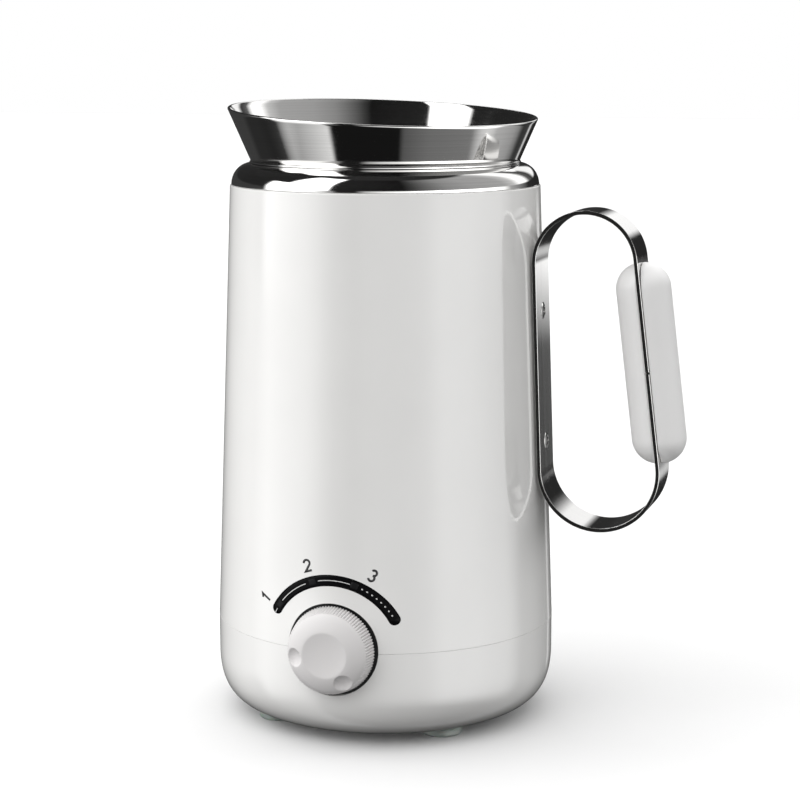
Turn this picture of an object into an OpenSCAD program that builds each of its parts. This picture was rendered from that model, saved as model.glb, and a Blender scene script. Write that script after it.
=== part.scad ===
// Travel kettle: a steel pot with a flared mouth in a white plastic body,
// a flat band handle with a two-part grip, and a rotary control at the foot.
// Millimetres, +Z up, floor at z = 0, control towards -Y, handle towards +X, inlet towards +Y.

/* [Body] */
// Diameter of the body at the parting line
body_d = 108; // [104:0.5:114]
// Diameter of the shell at its top edge
shell_top_d = 97.8; // [95:0.2:101]
// Height of the parting line between shell and base
seam_z = 30.8; // [28:0.2:34]
// Height of the shell's top edge
shell_top_z = 168.6; // [150:0.2:190]
// Wall of the plastic mouldings
wall = 2.2; // [1.8:0.1:2.6]
// Width of the visible groove at the parting line
seam_gap = 0.3; // [0.1:0.05:0.5]
// Height of the lap joint behind the parting line
lap_h = 3; // [2:0.5:5]
// Width of the rounded corner at the bottom of the base
corner_w = 14; // [10:0.5:16]
// Height of the rounded corner at the bottom of the base
corner_h = 18; // [14:0.5:20]
// Squareness of the rounded corner, 2 is an ellipse
corner_power = 2.6; // [2:0.1:3.5]

/* [Pot and mouth] */
// Space between the pot and the inside of the shell's top edge
pot_gap = 5.2; // [4:0.1:8]
// Thickness of the pot's sheet
pot_t = 0.8; // [0.5:0.1:1.2]
// Radius of the pot's bottom corner
pot_corner_r = 4; // [2:0.5:5]
// Height of the shoulder ring above the shell
shoulder_h = 6.8; // [5:0.1:10]
// Thickness of the shoulder ring
shoulder_t = 1; // [0.8:0.1:1.4]
// How far the shoulder ring stands in from the shell's edge
shoulder_inset = 0.4; // [0.2:0.1:1]
// Depth of the shoulder ring's lip inside the shell
shoulder_lip = 3.4; // [2:0.2:6]
// Height of the bead under the flared mouth
bead_h = 0.6; // [0.5:0.1:1.5]
// How far the bead stands out over the neck
bead_out = 0.3; // [0.2:0.1:1]
// Thickness of the neck gasket
gasket_t = 0.8; // [0.6:0.1:1.2]
// Diameter at the foot of the flared mouth
mouth_d = 84.6; // [84:0.2:87]
// Height of the rim above the bead, on the axis
mouth_h = 14.9; // [10:0.1:18]
// Lean of the flared mouth from upright
mouth_deg = 23.6; // [15:0.1:30]
// Tilt of the rim's plane
rim_tilt = 3.7; // [0:0.1:6]
// Direction of the rim's high side, from the handle towards the back
rim_dir = 140.5; // [0:0.5:360]

/* [Handle] */
// Height of the middle of the handle loop
handle_z = 113.2; // [105:0.1:120]
// Width of the steel band
band_w = 17; // [12:0.5:20]
// Thickness of the steel band
band_t = 1.2; // [0.8:0.1:2]
// Distance between the middles of the two bends, along the body
loop_leg = 64; // [50:1:70]
// Middle radius of the upper bend
loop_top_r = 15.8; // [12:0.1:18]
// Middle radius of the lower bend
loop_bottom_r = 18.6; // [15:0.1:22]
// Gap between the band's two ends, under the grip
split_gap = 0.7; // [0.4:0.1:1.5]
// Place of the split from the grip's middle
split_s = -2; // [-6:0.5:6]
// Length of the grip pads
grip_len = 62.5; // [48:0.5:64]
// Place of the grip's middle along the outer leg
grip_s = -0.8; // [-4:0.1:2]
// Width of the grip pads
grip_w = 16; // [12:0.5:17]
// Depth of each grip pad
grip_t = 7.8; // [5:0.1:8]
// Distance between the grip's two pegs
grip_peg_gap = 36; // [20:1:40]
// Radius of the grip's pegs
grip_peg_r = 2; // [1.5:0.1:2.5]
// Place of the upper handle screw along the inner leg
handle_screw_top = 17; // [12:0.5:22]
// Place of the lower handle screw along the inner leg
handle_screw_bottom = -24; // [-26:0.5:-15]
// Radius of the handle screws' shanks
handle_screw_r = 2; // [1.5:0.1:2.5]
// Thickness of the nut plate behind the handle
nut_plate_t = 2; // [1.5:0.1:3]
// Width of the nut plate
nut_plate_w = 10; // [8:0.5:12]

/* [Control] */
// Height of the knob's axis above the parting line
knob_rise = 0.6; // [-1:0.1:2]
// Radius of the knob's back edge
knob_r = 13.6; // [12.8:0.1:14]
// Radius at the front of the ribbed band
knob_band_r = 12.7; // [11.5:0.1:12.8]
// Depth of the ribbed band
knob_band_h = 5.2; // [4:0.1:5.6]
// Depth of the whole knob
knob_h = 7.6; // [7:0.1:9]
// Radius of the knob's flat face
knob_face_r = 7; // [6:0.1:8]
// Depth of the dish in the knob's face
knob_dish = 0.5; // [0.3:0.1:0.8]
// Number of ribs round the knob
knob_ribs = 90; // [40:1:100]
// Depth of the ribs
knob_rib_depth = 0.35; // [0.2:0.05:0.5]
// Distance of the finger dimples' ball from the knob's axis
dimple_ring_r = 11.2; // [10.5:0.1:12]
// Height of the dimples' ball above the ribbed band
dimple_rise = 3.8; // [3.5:0.1:4.4]
// Radius of the ball that shapes a dimple
dimple_ball_r = 4; // [3:0.1:5]
// Width of the black seat that shows round the knob
bezel_show = 0.65; // [0.5:0.05:2]
// Radius of the seat's rim behind the wall
bezel_flange_r = 17; // [16:0.1:17.5]
// How far the seat's face lies behind the front of the body
bezel_sink = 2; // [1.5:0.1:2.6]
// Thickness of the seat's walls
bezel_t = 1.4; // [1:0.1:2]
// Radius of the control shaft
shaft_r = 3; // [2.5:0.1:3.5]
// Depth of the flat on the shaft
shaft_flat = 0.7; // [0.4:0.1:1]
// Radius of the switch's threaded neck
neck_r = 4.5; // [4:0.1:5]
// Width and height of the switch's case
switch_w = 22; // [20:0.5:24]
// Depth of the switch's case
switch_depth = 18; // [16:0.5:20]
// Middle radius of the dial band
dial_r = 21.4; // [20.5:0.1:23]
// Width of the dial band
dial_w = 3.5; // [2.5:0.1:4]
// Start of the dial band, clockwise from the top
dial_from = -60; // [-70:1:-58]
// End of the dial band, clockwise from the top
dial_to = 62; // [40:1:70]
// Thickness of the dial band
dial_t = 0.8; // [0.5:0.1:1]
// Radius of the indicator lamps
lamp_r = 2.4; // [2:0.1:2.5]
// Length of the indicator lamps
lamp_len = 7; // [6:0.2:8]

/* [Heater] */
// Space between the carrier ring and the pot's floor
heater_space = 9.5; // [8.8:0.1:12]
// Radius of the heat-spreading plate
plate_r = 37.2; // [35:0.1:37.4]
// Thickness of the heat-spreading plate
plate_t = 3; // [2.5:0.1:4]
// Radius of the heating tube's ring
element_ring_r = 27; // [26.5:0.1:29]
// Radius of the heating tube
element_r = 3.3; // [2.8:0.1:3.6]
// How deep the heating tube sits in the plate
element_seat = 1.2; // [0.8:0.1:1.5]
// Open angle between the heating tube's ends
element_gap_deg = 60; // [50:1:80]
// Radius of the thermostats' caps
thermostat_r = 8; // [7:0.1:8.5]
// Distance of each thermostat from the axis
thermostat_x = 10.5; // [10:0.1:12]
// Radius of the thermal fuse
fuse_r = 2; // [1.5:0.1:2.4]
// Radius of the plate's studs
stud_r = 2; // [1.5:0.1:2.5]

/* [Carrier and base] */
// Thickness of the carrier ring
carrier_t = 2.5; // [2:0.1:4]
// Space between the heating tube's ring and the inside of the carrier ring
carrier_room = 0.7; // [0.3:0.1:1.2]
// Distance of the base screws from the axis
base_screw_ring_r = 37.8; // [36:0.1:38]
// Radius of the posts that take screws
post_r = 3.6; // [3.2:0.1:4]
// Radius of the small screws' shanks
screw_r = 1.5; // [1.2:0.1:1.7]
// Radius of the small screws' heads
screw_head_r = 2.8; // [2.4:0.1:3]
// Height of the small screws' heads
screw_head_h = 2; // [1.5:0.1:2.4]
// Height of the base's screw tubes above its floor
tube_h = 9.3; // [8:0.1:12]
// Height of the feet below the base
foot_h = 2.5; // [2:0.1:4]
// Radius of the feet
foot_r = 6.5; // [5:0.1:7]
// How far the feet's middles stand in from the edge of the base's flat bottom
foot_inset = 1.9; // [1:0.1:4]
// Radius of the feet's stems
foot_stem_r = 2.5; // [2:0.1:3]

/* [Power inlet] */
// Inside width of the inlet socket
inlet_w = 24.4; // [24:0.1:25]
// Inside height of the inlet socket
inlet_h = 16.4; // [16:0.1:17]
// Inside depth of the inlet socket
inlet_depth = 15; // [14:0.1:16]
// Wall of the inlet socket
inlet_t = 1.5; // [1.2:0.1:1.8]
// How far the socket's mouth lies inside the body's back
inlet_sink = 4.5; // [4:0.1:6]
// Height of the socket's lower face above the base's floor
inlet_rise = 3.6; // [3:0.1:5]
// Distance of the live and neutral pins from the middle
pin_x = 7; // [6.5:0.1:7.5]
// Height of the earth pin above the other pins
pin_step = 4; // [3.5:0.1:4.5]

/* [Fits] */
// Gap between a fixed piece and its seat
seat_gap = 0.05; // [0.02:0.01:0.1]
// Running gap round the control shaft
shaft_gap = 0.05; // [0.02:0.01:0.1]
// Gap between the knob and its seat
knob_gap = 1; // [0.4:0.1:1.5]
// Gap round a piece that shows in a plastic wall
panel_gap = 0.1; // [0.05:0.05:0.2]
// Clear space between parts that do not touch
free_gap = 0.5; // [0.4:0.1:0.8]

/* [Hidden] */
$fn = 96;
cut = 1;
far = 200;

// Cross recess in the screw heads
recess_r = 1.7;
recess_w = 0.7;
recess_depth = 0.8;

// Outline of the body
body_r = body_d/2;
taper = (body_r - shell_top_d/2)/(shell_top_z - seam_z);
taper_deg = atan(taper);
floor_z = foot_h;
flat_r = body_r - corner_w;
corner_steps = 20;

function shell_r(z) = body_r - (z - seam_z)*taper;
function polar(r, a) = [r*cos(a), r*sin(a)];

// Heights from the knob's axis up to the rim
knob_z = seam_z + knob_rise;
bracket_t = 1.5;
carrier_z = knob_z + switch_w/2 + seat_gap + bracket_t;
carrier_top = carrier_z + carrier_t;
pot_z = carrier_top + heater_space;
plate_z = pot_z - plate_t;
element_z = plate_z + element_seat - element_r;
shoulder_z = shell_top_z + shoulder_h;
bead_z = shoulder_z + seat_gap;
mouth_z = bead_z + bead_h;
rim_z = mouth_z + mouth_h;
pot_r = shell_top_d/2 - wall - pot_gap;
neck_hole_r = pot_r + gasket_t + 2*seat_gap;
bead_r = max(neck_hole_r, mouth_d/2) + bead_out;
mouth_slope = tan(mouth_deg);

// Distances from the body's axis out to the front, along the knob's axis
bezel_r = knob_r + bezel_show;
bezel_face_d = body_r - bezel_sink;
knob_back_d = bezel_face_d + knob_gap;
wall_in_r = shell_r(knob_z) - wall - panel_gap;
flange_front_d = sqrt(pow(wall_in_r, 2) - pow(bezel_flange_r, 2)) - panel_gap;
flange_back_d = flange_front_d - bezel_t;
bracket_back_d = flange_back_d - bracket_t;
switch_back_d = bracket_back_d - switch_depth;
back_plate_t = 2;
case_t = 2;
neck_end_d = bezel_face_d - bezel_t - free_gap;
knob_face_t = 1.6;
shaft_grip = knob_h - knob_face_t;
shaft_end_d = knob_back_d + shaft_grip;
rotor_r = switch_w/2 - case_t - free_gap;
rotor_front_d = bracket_back_d - case_t - free_gap;
rotor_h = 8;
rotor_wall = 3;
rotor_core_r = shaft_r + rotor_wall;
rotor_arm_w = 4;
shaft_in_d = rotor_front_d - rotor_h - case_t;
nut_h = 2.4;
nut_r = 8;
hub_t = 2.4;
hub_r = shaft_r + hub_t;
knob_hole_r = bezel_r + panel_gap;
lamp_deg = [-56, -17.5, 19];
dial_steps = 30;
end_steps = 8;
lamp_seat_h = 5;
lamp_wall = 1.1;
lamp_step = 0.8;
port_r = lamp_r - lamp_step;
dimple_deg = [189, -56];
flank_steps = 8;
flank_power = 1.5;

// Carrier ring, its ears and the screws in it
lamp_clear = 1.45;
carrier_in_r = element_ring_r + element_r + carrier_room;
carrier_out_r = lamp_in_r(0) - lamp_clear;
carrier_mid_r = (carrier_in_r + carrier_out_r)/2;
ear_deg = [45, 135, 225, 315];
post_edge = 1;
ear_r = post_r + post_edge;
ear_ring_r = shell_r(carrier_top) - wall - ear_r - free_gap;
post_top = pot_z - free_gap;
web_t = 2.4;
base_screw_deg = [20, 160, 200, 340];
tube_r = post_r + post_edge;
tube_top = floor_z + wall + tube_h;
tube_web = 4;
base_screw_len = 18;
screw_clear = 0.2;
blind_end = 1;
stud_edge = 0.5;
stud_ring_r = plate_r - stud_r - stud_edge;
stud_deg = [90, 225, 315];
stud_tail = 7;
stud_drop = carrier_z - stud_tail;
stud_nut_h = 3.2;
stud_nut_r = 3.9;
bracket_screw_x = 5.5;
bracket_w = 26;
bracket_edge = 4;

// Handle loop in its own frame: x out from the body, y up along it
band_x = seat_gap + band_t/2;
loop_top = [band_x + loop_top_r, loop_leg/2];
loop_bottom = [band_x + loop_bottom_r, -loop_leg/2];
loop_d = loop_bottom - loop_top;
leg_deg = atan2(loop_d[1], loop_d[0]) + acos((loop_top_r - loop_bottom_r)/norm(loop_d));
leg_mid = (loop_top + loop_bottom + polar(loop_top_r + loop_bottom_r, leg_deg))/2;
grip_r = (pow(grip_w/2, 2) + pow(grip_t, 2))/(2*grip_t);
grip_peg_len = 4;
handle_head_edge = 0.7;
handle_head_r = handle_screw_r + handle_head_edge;
handle_head_h = 0.7;
nut_plate_gap = 0.4;
nut_plate_x = -wall - nut_plate_gap - nut_plate_t;
nut_plate_over = 7;

// Thermostats, fuse and heating tube ends
cap_h = 3;
thermostat_h = 9;
clamp_t = 1;
clamp_edge = 2;
cap_edge = 1;
thermostat_neck_r = thermostat_r - cap_edge;
clamp_screw_y = 6;
clamp_boss_r = 2.8;
tab = [0.8, 6, 7.5];
tab_y = 3.8;
fuse_y = 16.5;
fuse_len = 10;
fuse_wire_r = 0.6;
fuse_wire_x = 8.5;
fuse_drop = 7;
cold_r = 2.4;
cold_drop = 6;
end_tab = [9, 0.8, 6];
element_end_deg = [90 - element_gap_deg/2, 90 + element_gap_deg/2];
fuse_z = plate_z - fuse_r - seat_gap;

// Inlet socket, measured from the back of the body
inlet_out_w = inlet_w + 2*inlet_t;
inlet_out_h = inlet_h + 2*inlet_t;
inlet_z = floor_z + wall + inlet_rise + inlet_out_h/2;
inlet_mouth_y = body_r - inlet_sink;
inlet_floor_y = inlet_mouth_y - inlet_depth;
inlet_back_t = 2.5;
inlet_back_y = inlet_floor_y - inlet_back_t;
inlet_chamfer = 4.5;
pin = [2, 4];
pin_short = 1.5;
pin_tail = 7.5;
pin_z = inlet_z - pin_step/2;
inlet_ear_t = 2.5;
inlet_ear_w = 9;
inlet_boss_h = 5.3;
inlet_ear_z = floor_z + wall + inlet_boss_h;
inlet_ear_x = inlet_out_w/2 + inlet_ear_w/2;
inlet_ear_y = inlet_floor_y + inlet_ear_w/2;
inlet_screw_len = 7;
pin_places = [[-pin_x, pin_z], [pin_x, pin_z], [0, pin_z + pin_step]];

// Feet
foot_deg = [45, 135, 225, 315];
foot_ring_r = flat_r - foot_inset;
foot_head_edge = 0.8;
foot_head_r = foot_stem_r + foot_head_edge;
foot_head_h = 1.6;

// Leads: name, start, way out of the start, way back from the end, end
lead_r = 1.1;
lead_sides = 8;
lead_steps = 14;
lead_side = 2.6;
lead_run = 14;
lead_drop = 8;
switch_tab_x = [-7, 0, 7];
switch_tab_y = -switch_back_d + tab[2];
pin_tail_y = inlet_back_y - pin_tail;
thermo_tab_z = plate_z - thermostat_h - tab[2];
element_tip_z = element_z - cold_drop - end_tab[2];
element_tip = [for (a = element_end_deg) concat(polar(element_ring_r, a), [element_tip_z])];
fuse_tip_z = fuse_z - fuse_drop;
stud_tip = concat(polar(stud_ring_r, stud_deg[2]), [stud_drop]);
back = [0, lead_run, 0];
down = [0, 0, -lead_drop];
aside = [lead_side, 0, 0];
LEADS = [
    ["lead_live", [switch_tab_x[1], switch_tab_y, knob_z], back, -back, [-pin_x, pin_tail_y, pin_z]],
    ["lead_boil", [switch_tab_x[2], switch_tab_y, knob_z], back, down, [thermostat_x, -tab_y, thermo_tab_z]],
    ["lead_warm", [switch_tab_x[0], switch_tab_y, knob_z], back, down, [-thermostat_x, -tab_y, thermo_tab_z]],
    ["lead_boil_out", [thermostat_x, tab_y, thermo_tab_z], down, down, element_tip[0] + aside],
    ["lead_warm_out", [-thermostat_x, tab_y, thermo_tab_z], down, down, element_tip[0] - aside],
    ["lead_fuse", [-fuse_wire_x, fuse_y, fuse_tip_z], down, down, element_tip[1]],
    ["lead_neutral", [pin_x, pin_tail_y, pin_z], -back, down, [fuse_wire_x, fuse_y, fuse_tip_z]],
    ["lead_earth", [0, pin_tail_y, pin_z + pin_step], -back, down, stud_tip]
];

// Frames that pieces are drawn in

// Knob axis: z runs out to the front, y up
module on_knob_axis() {
    translate([0, 0, knob_z]) rotate([90, 0, 0]) children();
}

// Handle: x out from the body, z up along it
module on_handle() {
    translate([shell_r(handle_z), 0, handle_z]) rotate([0, -taper_deg, 0]) children();
}

// Grip on the handle's outer leg: x out, z up along the leg
module on_grip_leg() {
    on_handle() translate([leg_mid[0], 0, leg_mid[1]]) rotate([0, -leg_deg, 0])
        translate([0, 0, grip_s]) children();
}

// Copies round the body's axis
module around(angles, r) {
    for (a = angles) rotate(a) translate([r, 0, 0]) children();
}

// Shapes that several pieces share

// Cone that follows the shell's outside, grown by a distance
module shell_cone(grow, z0, z1) {
    translate([0, 0, z0]) cylinder(h = z1 - z0, r1 = shell_r(z0) + grow, r2 = shell_r(z1) + grow);
}

// Straight round piece between two heights
module rod(r, z0, z1) {
    translate([0, 0, z0]) cylinder(h = z1 - z0, r = r);
}

// Upright box centred in x and y, from the bottom up
module block(size) {
    translate([-size[0]/2, -size[1]/2, 0]) cube(size);
}

// Screw with its head below z = 0 and its shank above
module screw_up(r, len, head_r, head_h) {
    rod(r, -head_h/2, len);
    difference() {
        rod(head_r, -head_h, 0);
        for (a = [0, 90]) rotate(a) translate([0, 0, -head_h - cut])
            block([2*recess_r, recess_w, cut + recess_depth]);
    }
}

// Bar along the knob's axis whose outline is the dial band with its round ends
module dial_bar(grow, z0, z1) {
    half = dial_w/2 + grow;
    sweep = dial_to - dial_from;
    translate([0, 0, z0]) linear_extrude(z1 - z0) polygon(concat(
        [for (i = [0 : dial_steps]) (dial_r + half)*dial_way(dial_from + sweep*i/dial_steps)],
        [for (i = [1 : end_steps - 1])
            dial_r*dial_way(dial_to) + half*dial_way(dial_to + 180*i/end_steps)],
        [for (i = [dial_steps : -1 : 0]) (dial_r - half)*dial_way(dial_from + sweep*i/dial_steps)],
        [for (i = [1 : end_steps - 1])
            dial_r*dial_way(dial_from) + half*dial_way(dial_from + 180 + 180*i/end_steps)]
    ));
}

// Direction on the dial, clockwise from the top
function dial_way(a) = [sin(a), cos(a)];

// Outline of the handle loop, grown from the band's middle line
module loop_outline(grow) {
    r1 = loop_top_r + grow;
    r2 = loop_bottom_r + grow;
    translate(loop_top) circle(r1);
    translate(loop_bottom) circle(r2);
    polygon([
        loop_top + polar(r1, leg_deg), loop_top - [r1, 0],
        loop_bottom - [r2, 0], loop_bottom + polar(r2, leg_deg)
    ]);
}

// Rounded corner of the base, from the flat floor out to the side
function base_corner(inset) = [
    for (i = [0 : corner_steps])
        let (a = 90*i/corner_steps)
        [flat_r + (corner_w - inset)*pow(sin(a), 2/corner_power),
         floor_z + inset + (corner_h - inset)*(1 - pow(cos(a), 2/corner_power))]
];

// Body

// Place and depth of an indicator lamp on the knob's axis frame
function lamp_xy(i) = dial_r*dial_way(lamp_deg[i]);
function lamp_seat_d(i) =
    let (in_r = shell_r(knob_z + lamp_xy(i)[1]) - wall)
    sqrt(pow(in_r, 2) - pow(abs(lamp_xy(i)[0]) + lamp_r, 2)) - panel_gap;

// Distance of a lamp's inner end from the body's axis
function lamp_in_r(i) = norm([abs(lamp_xy(i)[0]) - lamp_r, lamp_seat_d(i) - lamp_len]);

module on_lamp(i) {
    on_knob_axis() translate(concat(lamp_xy(i), [lamp_seat_d(i)])) children();
}

module knob_hole() {
    on_knob_axis() rod(knob_hole_r, flange_back_d, far);
}

module handle_screw_places() {
    for (s = [handle_screw_top, handle_screw_bottom])
        on_handle() translate([0, 0, s]) rotate([0, -90, 0]) children();
}

module outer_shell() {
    color("white") difference() {
        union() {
            difference() {
                shell_cone(0, seam_z + seam_gap/2, shell_top_z);
                shell_cone(-wall, seam_z - cut, shell_top_z + cut);
                rod(body_r - wall/2, seam_z - cut, seam_z + lap_h + 2*panel_gap);
            }
            around(ear_deg, ear_ring_r) {
                rod(post_r, carrier_top, post_top);
                translate([0, -web_t/2, carrier_top])
                    cube([shell_r(post_top) - wall/2 - ear_ring_r, web_t, post_top - carrier_top]);
            }
            for (i = [0 : 2]) on_lamp(i) rod(lamp_r + lamp_wall, -lamp_seat_h, wall/2);
        }
        knob_hole();
        intersection() {
            on_knob_axis() dial_bar(panel_gap, flat_r, far);
            difference() {
                rod(far, seam_z, shell_top_z);
                shell_cone(-dial_t, seam_z - cut, shell_top_z + cut);
            }
        }
        for (i = [0 : 2]) on_lamp(i) {
            rod(lamp_r + seat_gap, -lamp_seat_h - cut, 0);
            rod(port_r, -cut, far);
        }
        around(ear_deg, ear_ring_r) rod(screw_r + seat_gap, carrier_top - cut, post_top - blind_end);
        handle_screw_places() rod(handle_screw_r + seat_gap, -cut, 2*wall);
    }
}

// Solid shape of the base's outside, up to the parting line
module base_outside() {
    rotate_extrude() polygon(concat(
        [[0, floor_z]], base_corner(0), [[body_r, seam_z - seam_gap/2], [0, seam_z - seam_gap/2]]
    ));
}

module inlet_boss_places() {
    for (s = [-1, 1]) translate([s*inlet_ear_x, inlet_ear_y, 0]) children();
}

module base_cover() {
    color("white") difference() {
        union() {
            rotate_extrude() polygon(concat(
                [[0, floor_z]],
                base_corner(0),
                [[body_r, seam_z - seam_gap/2],
                 [body_r - wall/2 - panel_gap, seam_z - seam_gap/2],
                 [body_r - wall/2 - panel_gap, seam_z + lap_h],
                 [body_r - wall, seam_z + lap_h]],
                [for (i = [corner_steps : -1 : 0]) base_corner(wall)[i]],
                [[0, floor_z + wall]]
            ));
            around(base_screw_deg, base_screw_ring_r) rod(tube_r, floor_z + wall/2, tube_top);
            intersection() {
                base_outside();
                inlet_boss_places() rod(post_r, floor_z + wall/2, inlet_ear_z);
            }
        }
        knob_hole();
        around(base_screw_deg, base_screw_ring_r) {
            rod(screw_r + screw_clear, floor_z - cut, tube_top + cut);
            rod(screw_head_r + free_gap, floor_z - cut, tube_top - tube_web);
        }
        around(foot_deg, foot_ring_r) rod(foot_stem_r + seat_gap, floor_z - cut, floor_z + wall + cut);
        inlet_boss_places() rod(screw_r + seat_gap, floor_z + wall, inlet_ear_z + cut);
        translate([-inlet_out_w/2 - panel_gap, inlet_back_y, inlet_z - inlet_out_h/2 - panel_gap])
            cube([inlet_out_w + 2*panel_gap, body_r, inlet_out_h + 2*panel_gap]);
    }
}

// Quarter-round steel ring between the shell and the mouth, with a lip inside the shell
module shoulder_ring() {
    edge_r = shell_top_d/2 - shoulder_inset;
    lip_r = shell_r(shell_top_z) - wall - panel_gap;
    out = edge_r - neck_hole_r;
    lip_deg = asin(shoulder_t/(shoulder_h - shoulder_t));
    steps = 18;
    function dome(inset, a) =
        [neck_hole_r + (out - inset)*cos(a), shell_top_z + (shoulder_h - inset)*sin(a)];
    color("silver") rotate_extrude() polygon(concat(
        [for (i = [0 : steps]) dome(0, 90*i/steps)],
        [for (i = [steps : -1 : 0]) dome(shoulder_t, lip_deg + (90 - lip_deg)*i/steps)],
        [[lip_r - shoulder_t, shell_top_z + shoulder_t],
         [lip_r - shoulder_t, shell_top_z - shoulder_lip],
         [lip_r, shell_top_z - shoulder_lip],
         [lip_r, shell_top_z]]
    ));
}

// Pot with its bead and flared mouth, cut off by the tilted rim plane
module inner_pot() {
    top = rim_z + body_r*sin(rim_tilt);
    foot_r_in = mouth_d/2 - pot_t;
    corner_steps_pot = 8;
    color("silver") difference() {
        rotate_extrude() polygon(concat(
            [[0, pot_z]],
            [for (i = [0 : corner_steps_pot])
                let (a = 90*i/corner_steps_pot)
                [pot_r - pot_corner_r + pot_corner_r*sin(a), pot_z + pot_corner_r*(1 - cos(a))]],
            [[pot_r, bead_z],
             [bead_r, bead_z],
             [bead_r, mouth_z],
             [mouth_d/2, mouth_z],
             [mouth_d/2 + (top - mouth_z)*mouth_slope, top],
             [foot_r_in + (top - mouth_z)*mouth_slope, top],
             [foot_r_in, mouth_z],
             [pot_r - pot_t, bead_z]],
            [for (i = [corner_steps_pot : -1 : 0])
                let (a = 90*i/corner_steps_pot)
                [pot_r - pot_corner_r + (pot_corner_r - pot_t)*sin(a),
                 pot_z + pot_corner_r - (pot_corner_r - pot_t)*cos(a)]],
            [[0, pot_z + pot_t]]
        ));
        translate([0, 0, rim_z]) rotate(rim_dir) rotate([0, -rim_tilt, 0]) block([far, far, far]);
    }
}

module neck_gasket() {
    foot_z = shoulder_z - 2*shoulder_t;
    color("dimgray") difference() {
        rod(neck_hole_r - seat_gap, foot_z, shoulder_z);
        rod(pot_r + seat_gap, foot_z - cut, shoulder_z + cut);
    }
}

// Handle

module handle_band() {
    color("silver") difference() {
        on_handle() rotate([90, 0, 0]) linear_extrude(band_w, center = true) difference() {
            loop_outline(band_t/2);
            loop_outline(-band_t/2);
        }
        on_grip_leg() translate([0, 0, split_s - split_gap/2]) block([4*band_t, 2*band_w, split_gap]);
        on_grip_leg() for (s = [-1, 1]) translate([0, 0, s*grip_peg_gap/2]) rotate([0, 90, 0])
            rod(grip_peg_r + 2*seat_gap, -2*band_t, 2*band_t);
        handle_screw_places() rod(handle_screw_r + seat_gap, -2*band_t, cut);
    }
}

// Half of a round-ended bar, lying on the band's face
module grip_pad() {
    face = band_t/2 + seat_gap;
    middle = face + grip_t - grip_r;
    reach = grip_len/2 - grip_r;
    intersection() {
        translate([middle, 0, 0]) {
            rod(grip_r, -reach, reach);
            for (s = [-1, 1]) translate([0, 0, s*reach]) sphere(grip_r);
        }
        translate([face, -grip_w, -grip_len]) cube([2*grip_t, 2*grip_w, 2*grip_len]);
    }
}

module grip_pegs(r, len) {
    for (s = [-1, 1]) translate([0, 0, s*grip_peg_gap/2]) rotate([0, -90, 0]) rod(r, -band_t, len);
}

module grip_outer() {
    color("white") on_grip_leg() {
        grip_pad();
        grip_pegs(grip_peg_r, band_t/2 + grip_peg_len);
    }
}

// The inner pad stays inside the loop, also where its ends reach the bends
module grip_inner() {
    color("white") intersection() {
        on_grip_leg() difference() {
            mirror([1, 0, 0]) grip_pad();
            grip_pegs(grip_peg_r + seat_gap, band_t/2 + grip_peg_len + seat_gap);
        }
        on_handle() rotate([90, 0, 0]) linear_extrude(2*band_w, center = true)
            loop_outline(-band_t/2);
    }
}

module handle_screws() {
    color("gray") handle_screw_places() translate([0, 0, -seat_gap - band_t])
        screw_up(handle_screw_r, seat_gap + band_t - nut_plate_x, handle_head_r, handle_head_h);
}

module handle_nut_plate() {
    len = handle_screw_top - handle_screw_bottom + 2*nut_plate_over;
    color("gray") difference() {
        on_handle() translate([nut_plate_x + nut_plate_t/2, 0, handle_screw_bottom - nut_plate_over])
            block([nut_plate_t, nut_plate_w, len]);
        handle_screw_places() rod(handle_screw_r + seat_gap, -cut, -2*nut_plate_x);
    }
}

// Control

// Round shaft with one flat
module d_rod(r, z0, z1) {
    intersection() {
        rod(r, z0, z1);
        translate([-r - cut, -r - cut, z0]) cube([2*r + 2*cut, 2*r + cut - shaft_flat, z1 - z0]);
    }
}

// Knob with a ribbed band, a curved flank with finger dimples and a dished face
module control_knob() {
    flank_h = knob_h - knob_band_h;
    flank_foot_r = knob_band_r - knob_rib_depth;
    flank_w = flank_foot_r - knob_face_r;
    rib_a = 360/knob_ribs;
    cup_h = knob_band_h - bezel_t/2;
    dish_r = (pow(knob_face_r, 2) + pow(knob_dish, 2))/(2*knob_dish);
    color("white") on_knob_axis() translate([0, 0, knob_back_d]) difference() {
        union() {
            linear_extrude(knob_band_h, scale = knob_band_r/knob_r) polygon([
                for (i = [0 : knob_ribs - 1])
                    for (s = [0, 1])
                        polar(knob_r - s*knob_rib_depth, (i + s/2)*rib_a)
            ]);
            rotate_extrude() polygon(concat(
                [[0, cup_h], [flank_foot_r, cup_h]],
                [for (i = [0 : flank_steps])
                    let (a = 90*i/flank_steps)
                    [knob_face_r + flank_w*pow(cos(a), flank_power),
                     knob_band_h + flank_h*pow(sin(a), flank_power)]],
                [[0, knob_h]]
            ));
        }
        difference() {
            rod(knob_band_r - bezel_t, -cut, cup_h);
            rod(hub_r, -2*cut, cup_h + cut);
        }
        d_rod(shaft_r + seat_gap, -cut, shaft_grip + seat_gap);
        for (a = dimple_deg) rotate(a) translate([dimple_ring_r, 0, knob_band_h + dimple_rise])
            sphere(dimple_ball_r);
        translate([0, 0, knob_h - knob_dish + dish_r]) sphere(dish_r);
    }
}

module switch_shaft() {
    color("silver") on_knob_axis() d_rod(shaft_r, shaft_in_d, shaft_end_d);
}

module switch_rotor() {
    color("ivory") on_knob_axis() difference() {
        union() {
            rod(rotor_core_r, rotor_front_d - rotor_h, rotor_front_d);
            translate([0, 0, rotor_front_d - rotor_h]) intersection() {
                block([2*rotor_r, rotor_arm_w, rotor_h/2]);
                rod(rotor_r, 0, rotor_h);
            }
        }
        d_rod(shaft_r + seat_gap/2, rotor_front_d - rotor_h - cut, rotor_front_d + cut);
    }
}

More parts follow.
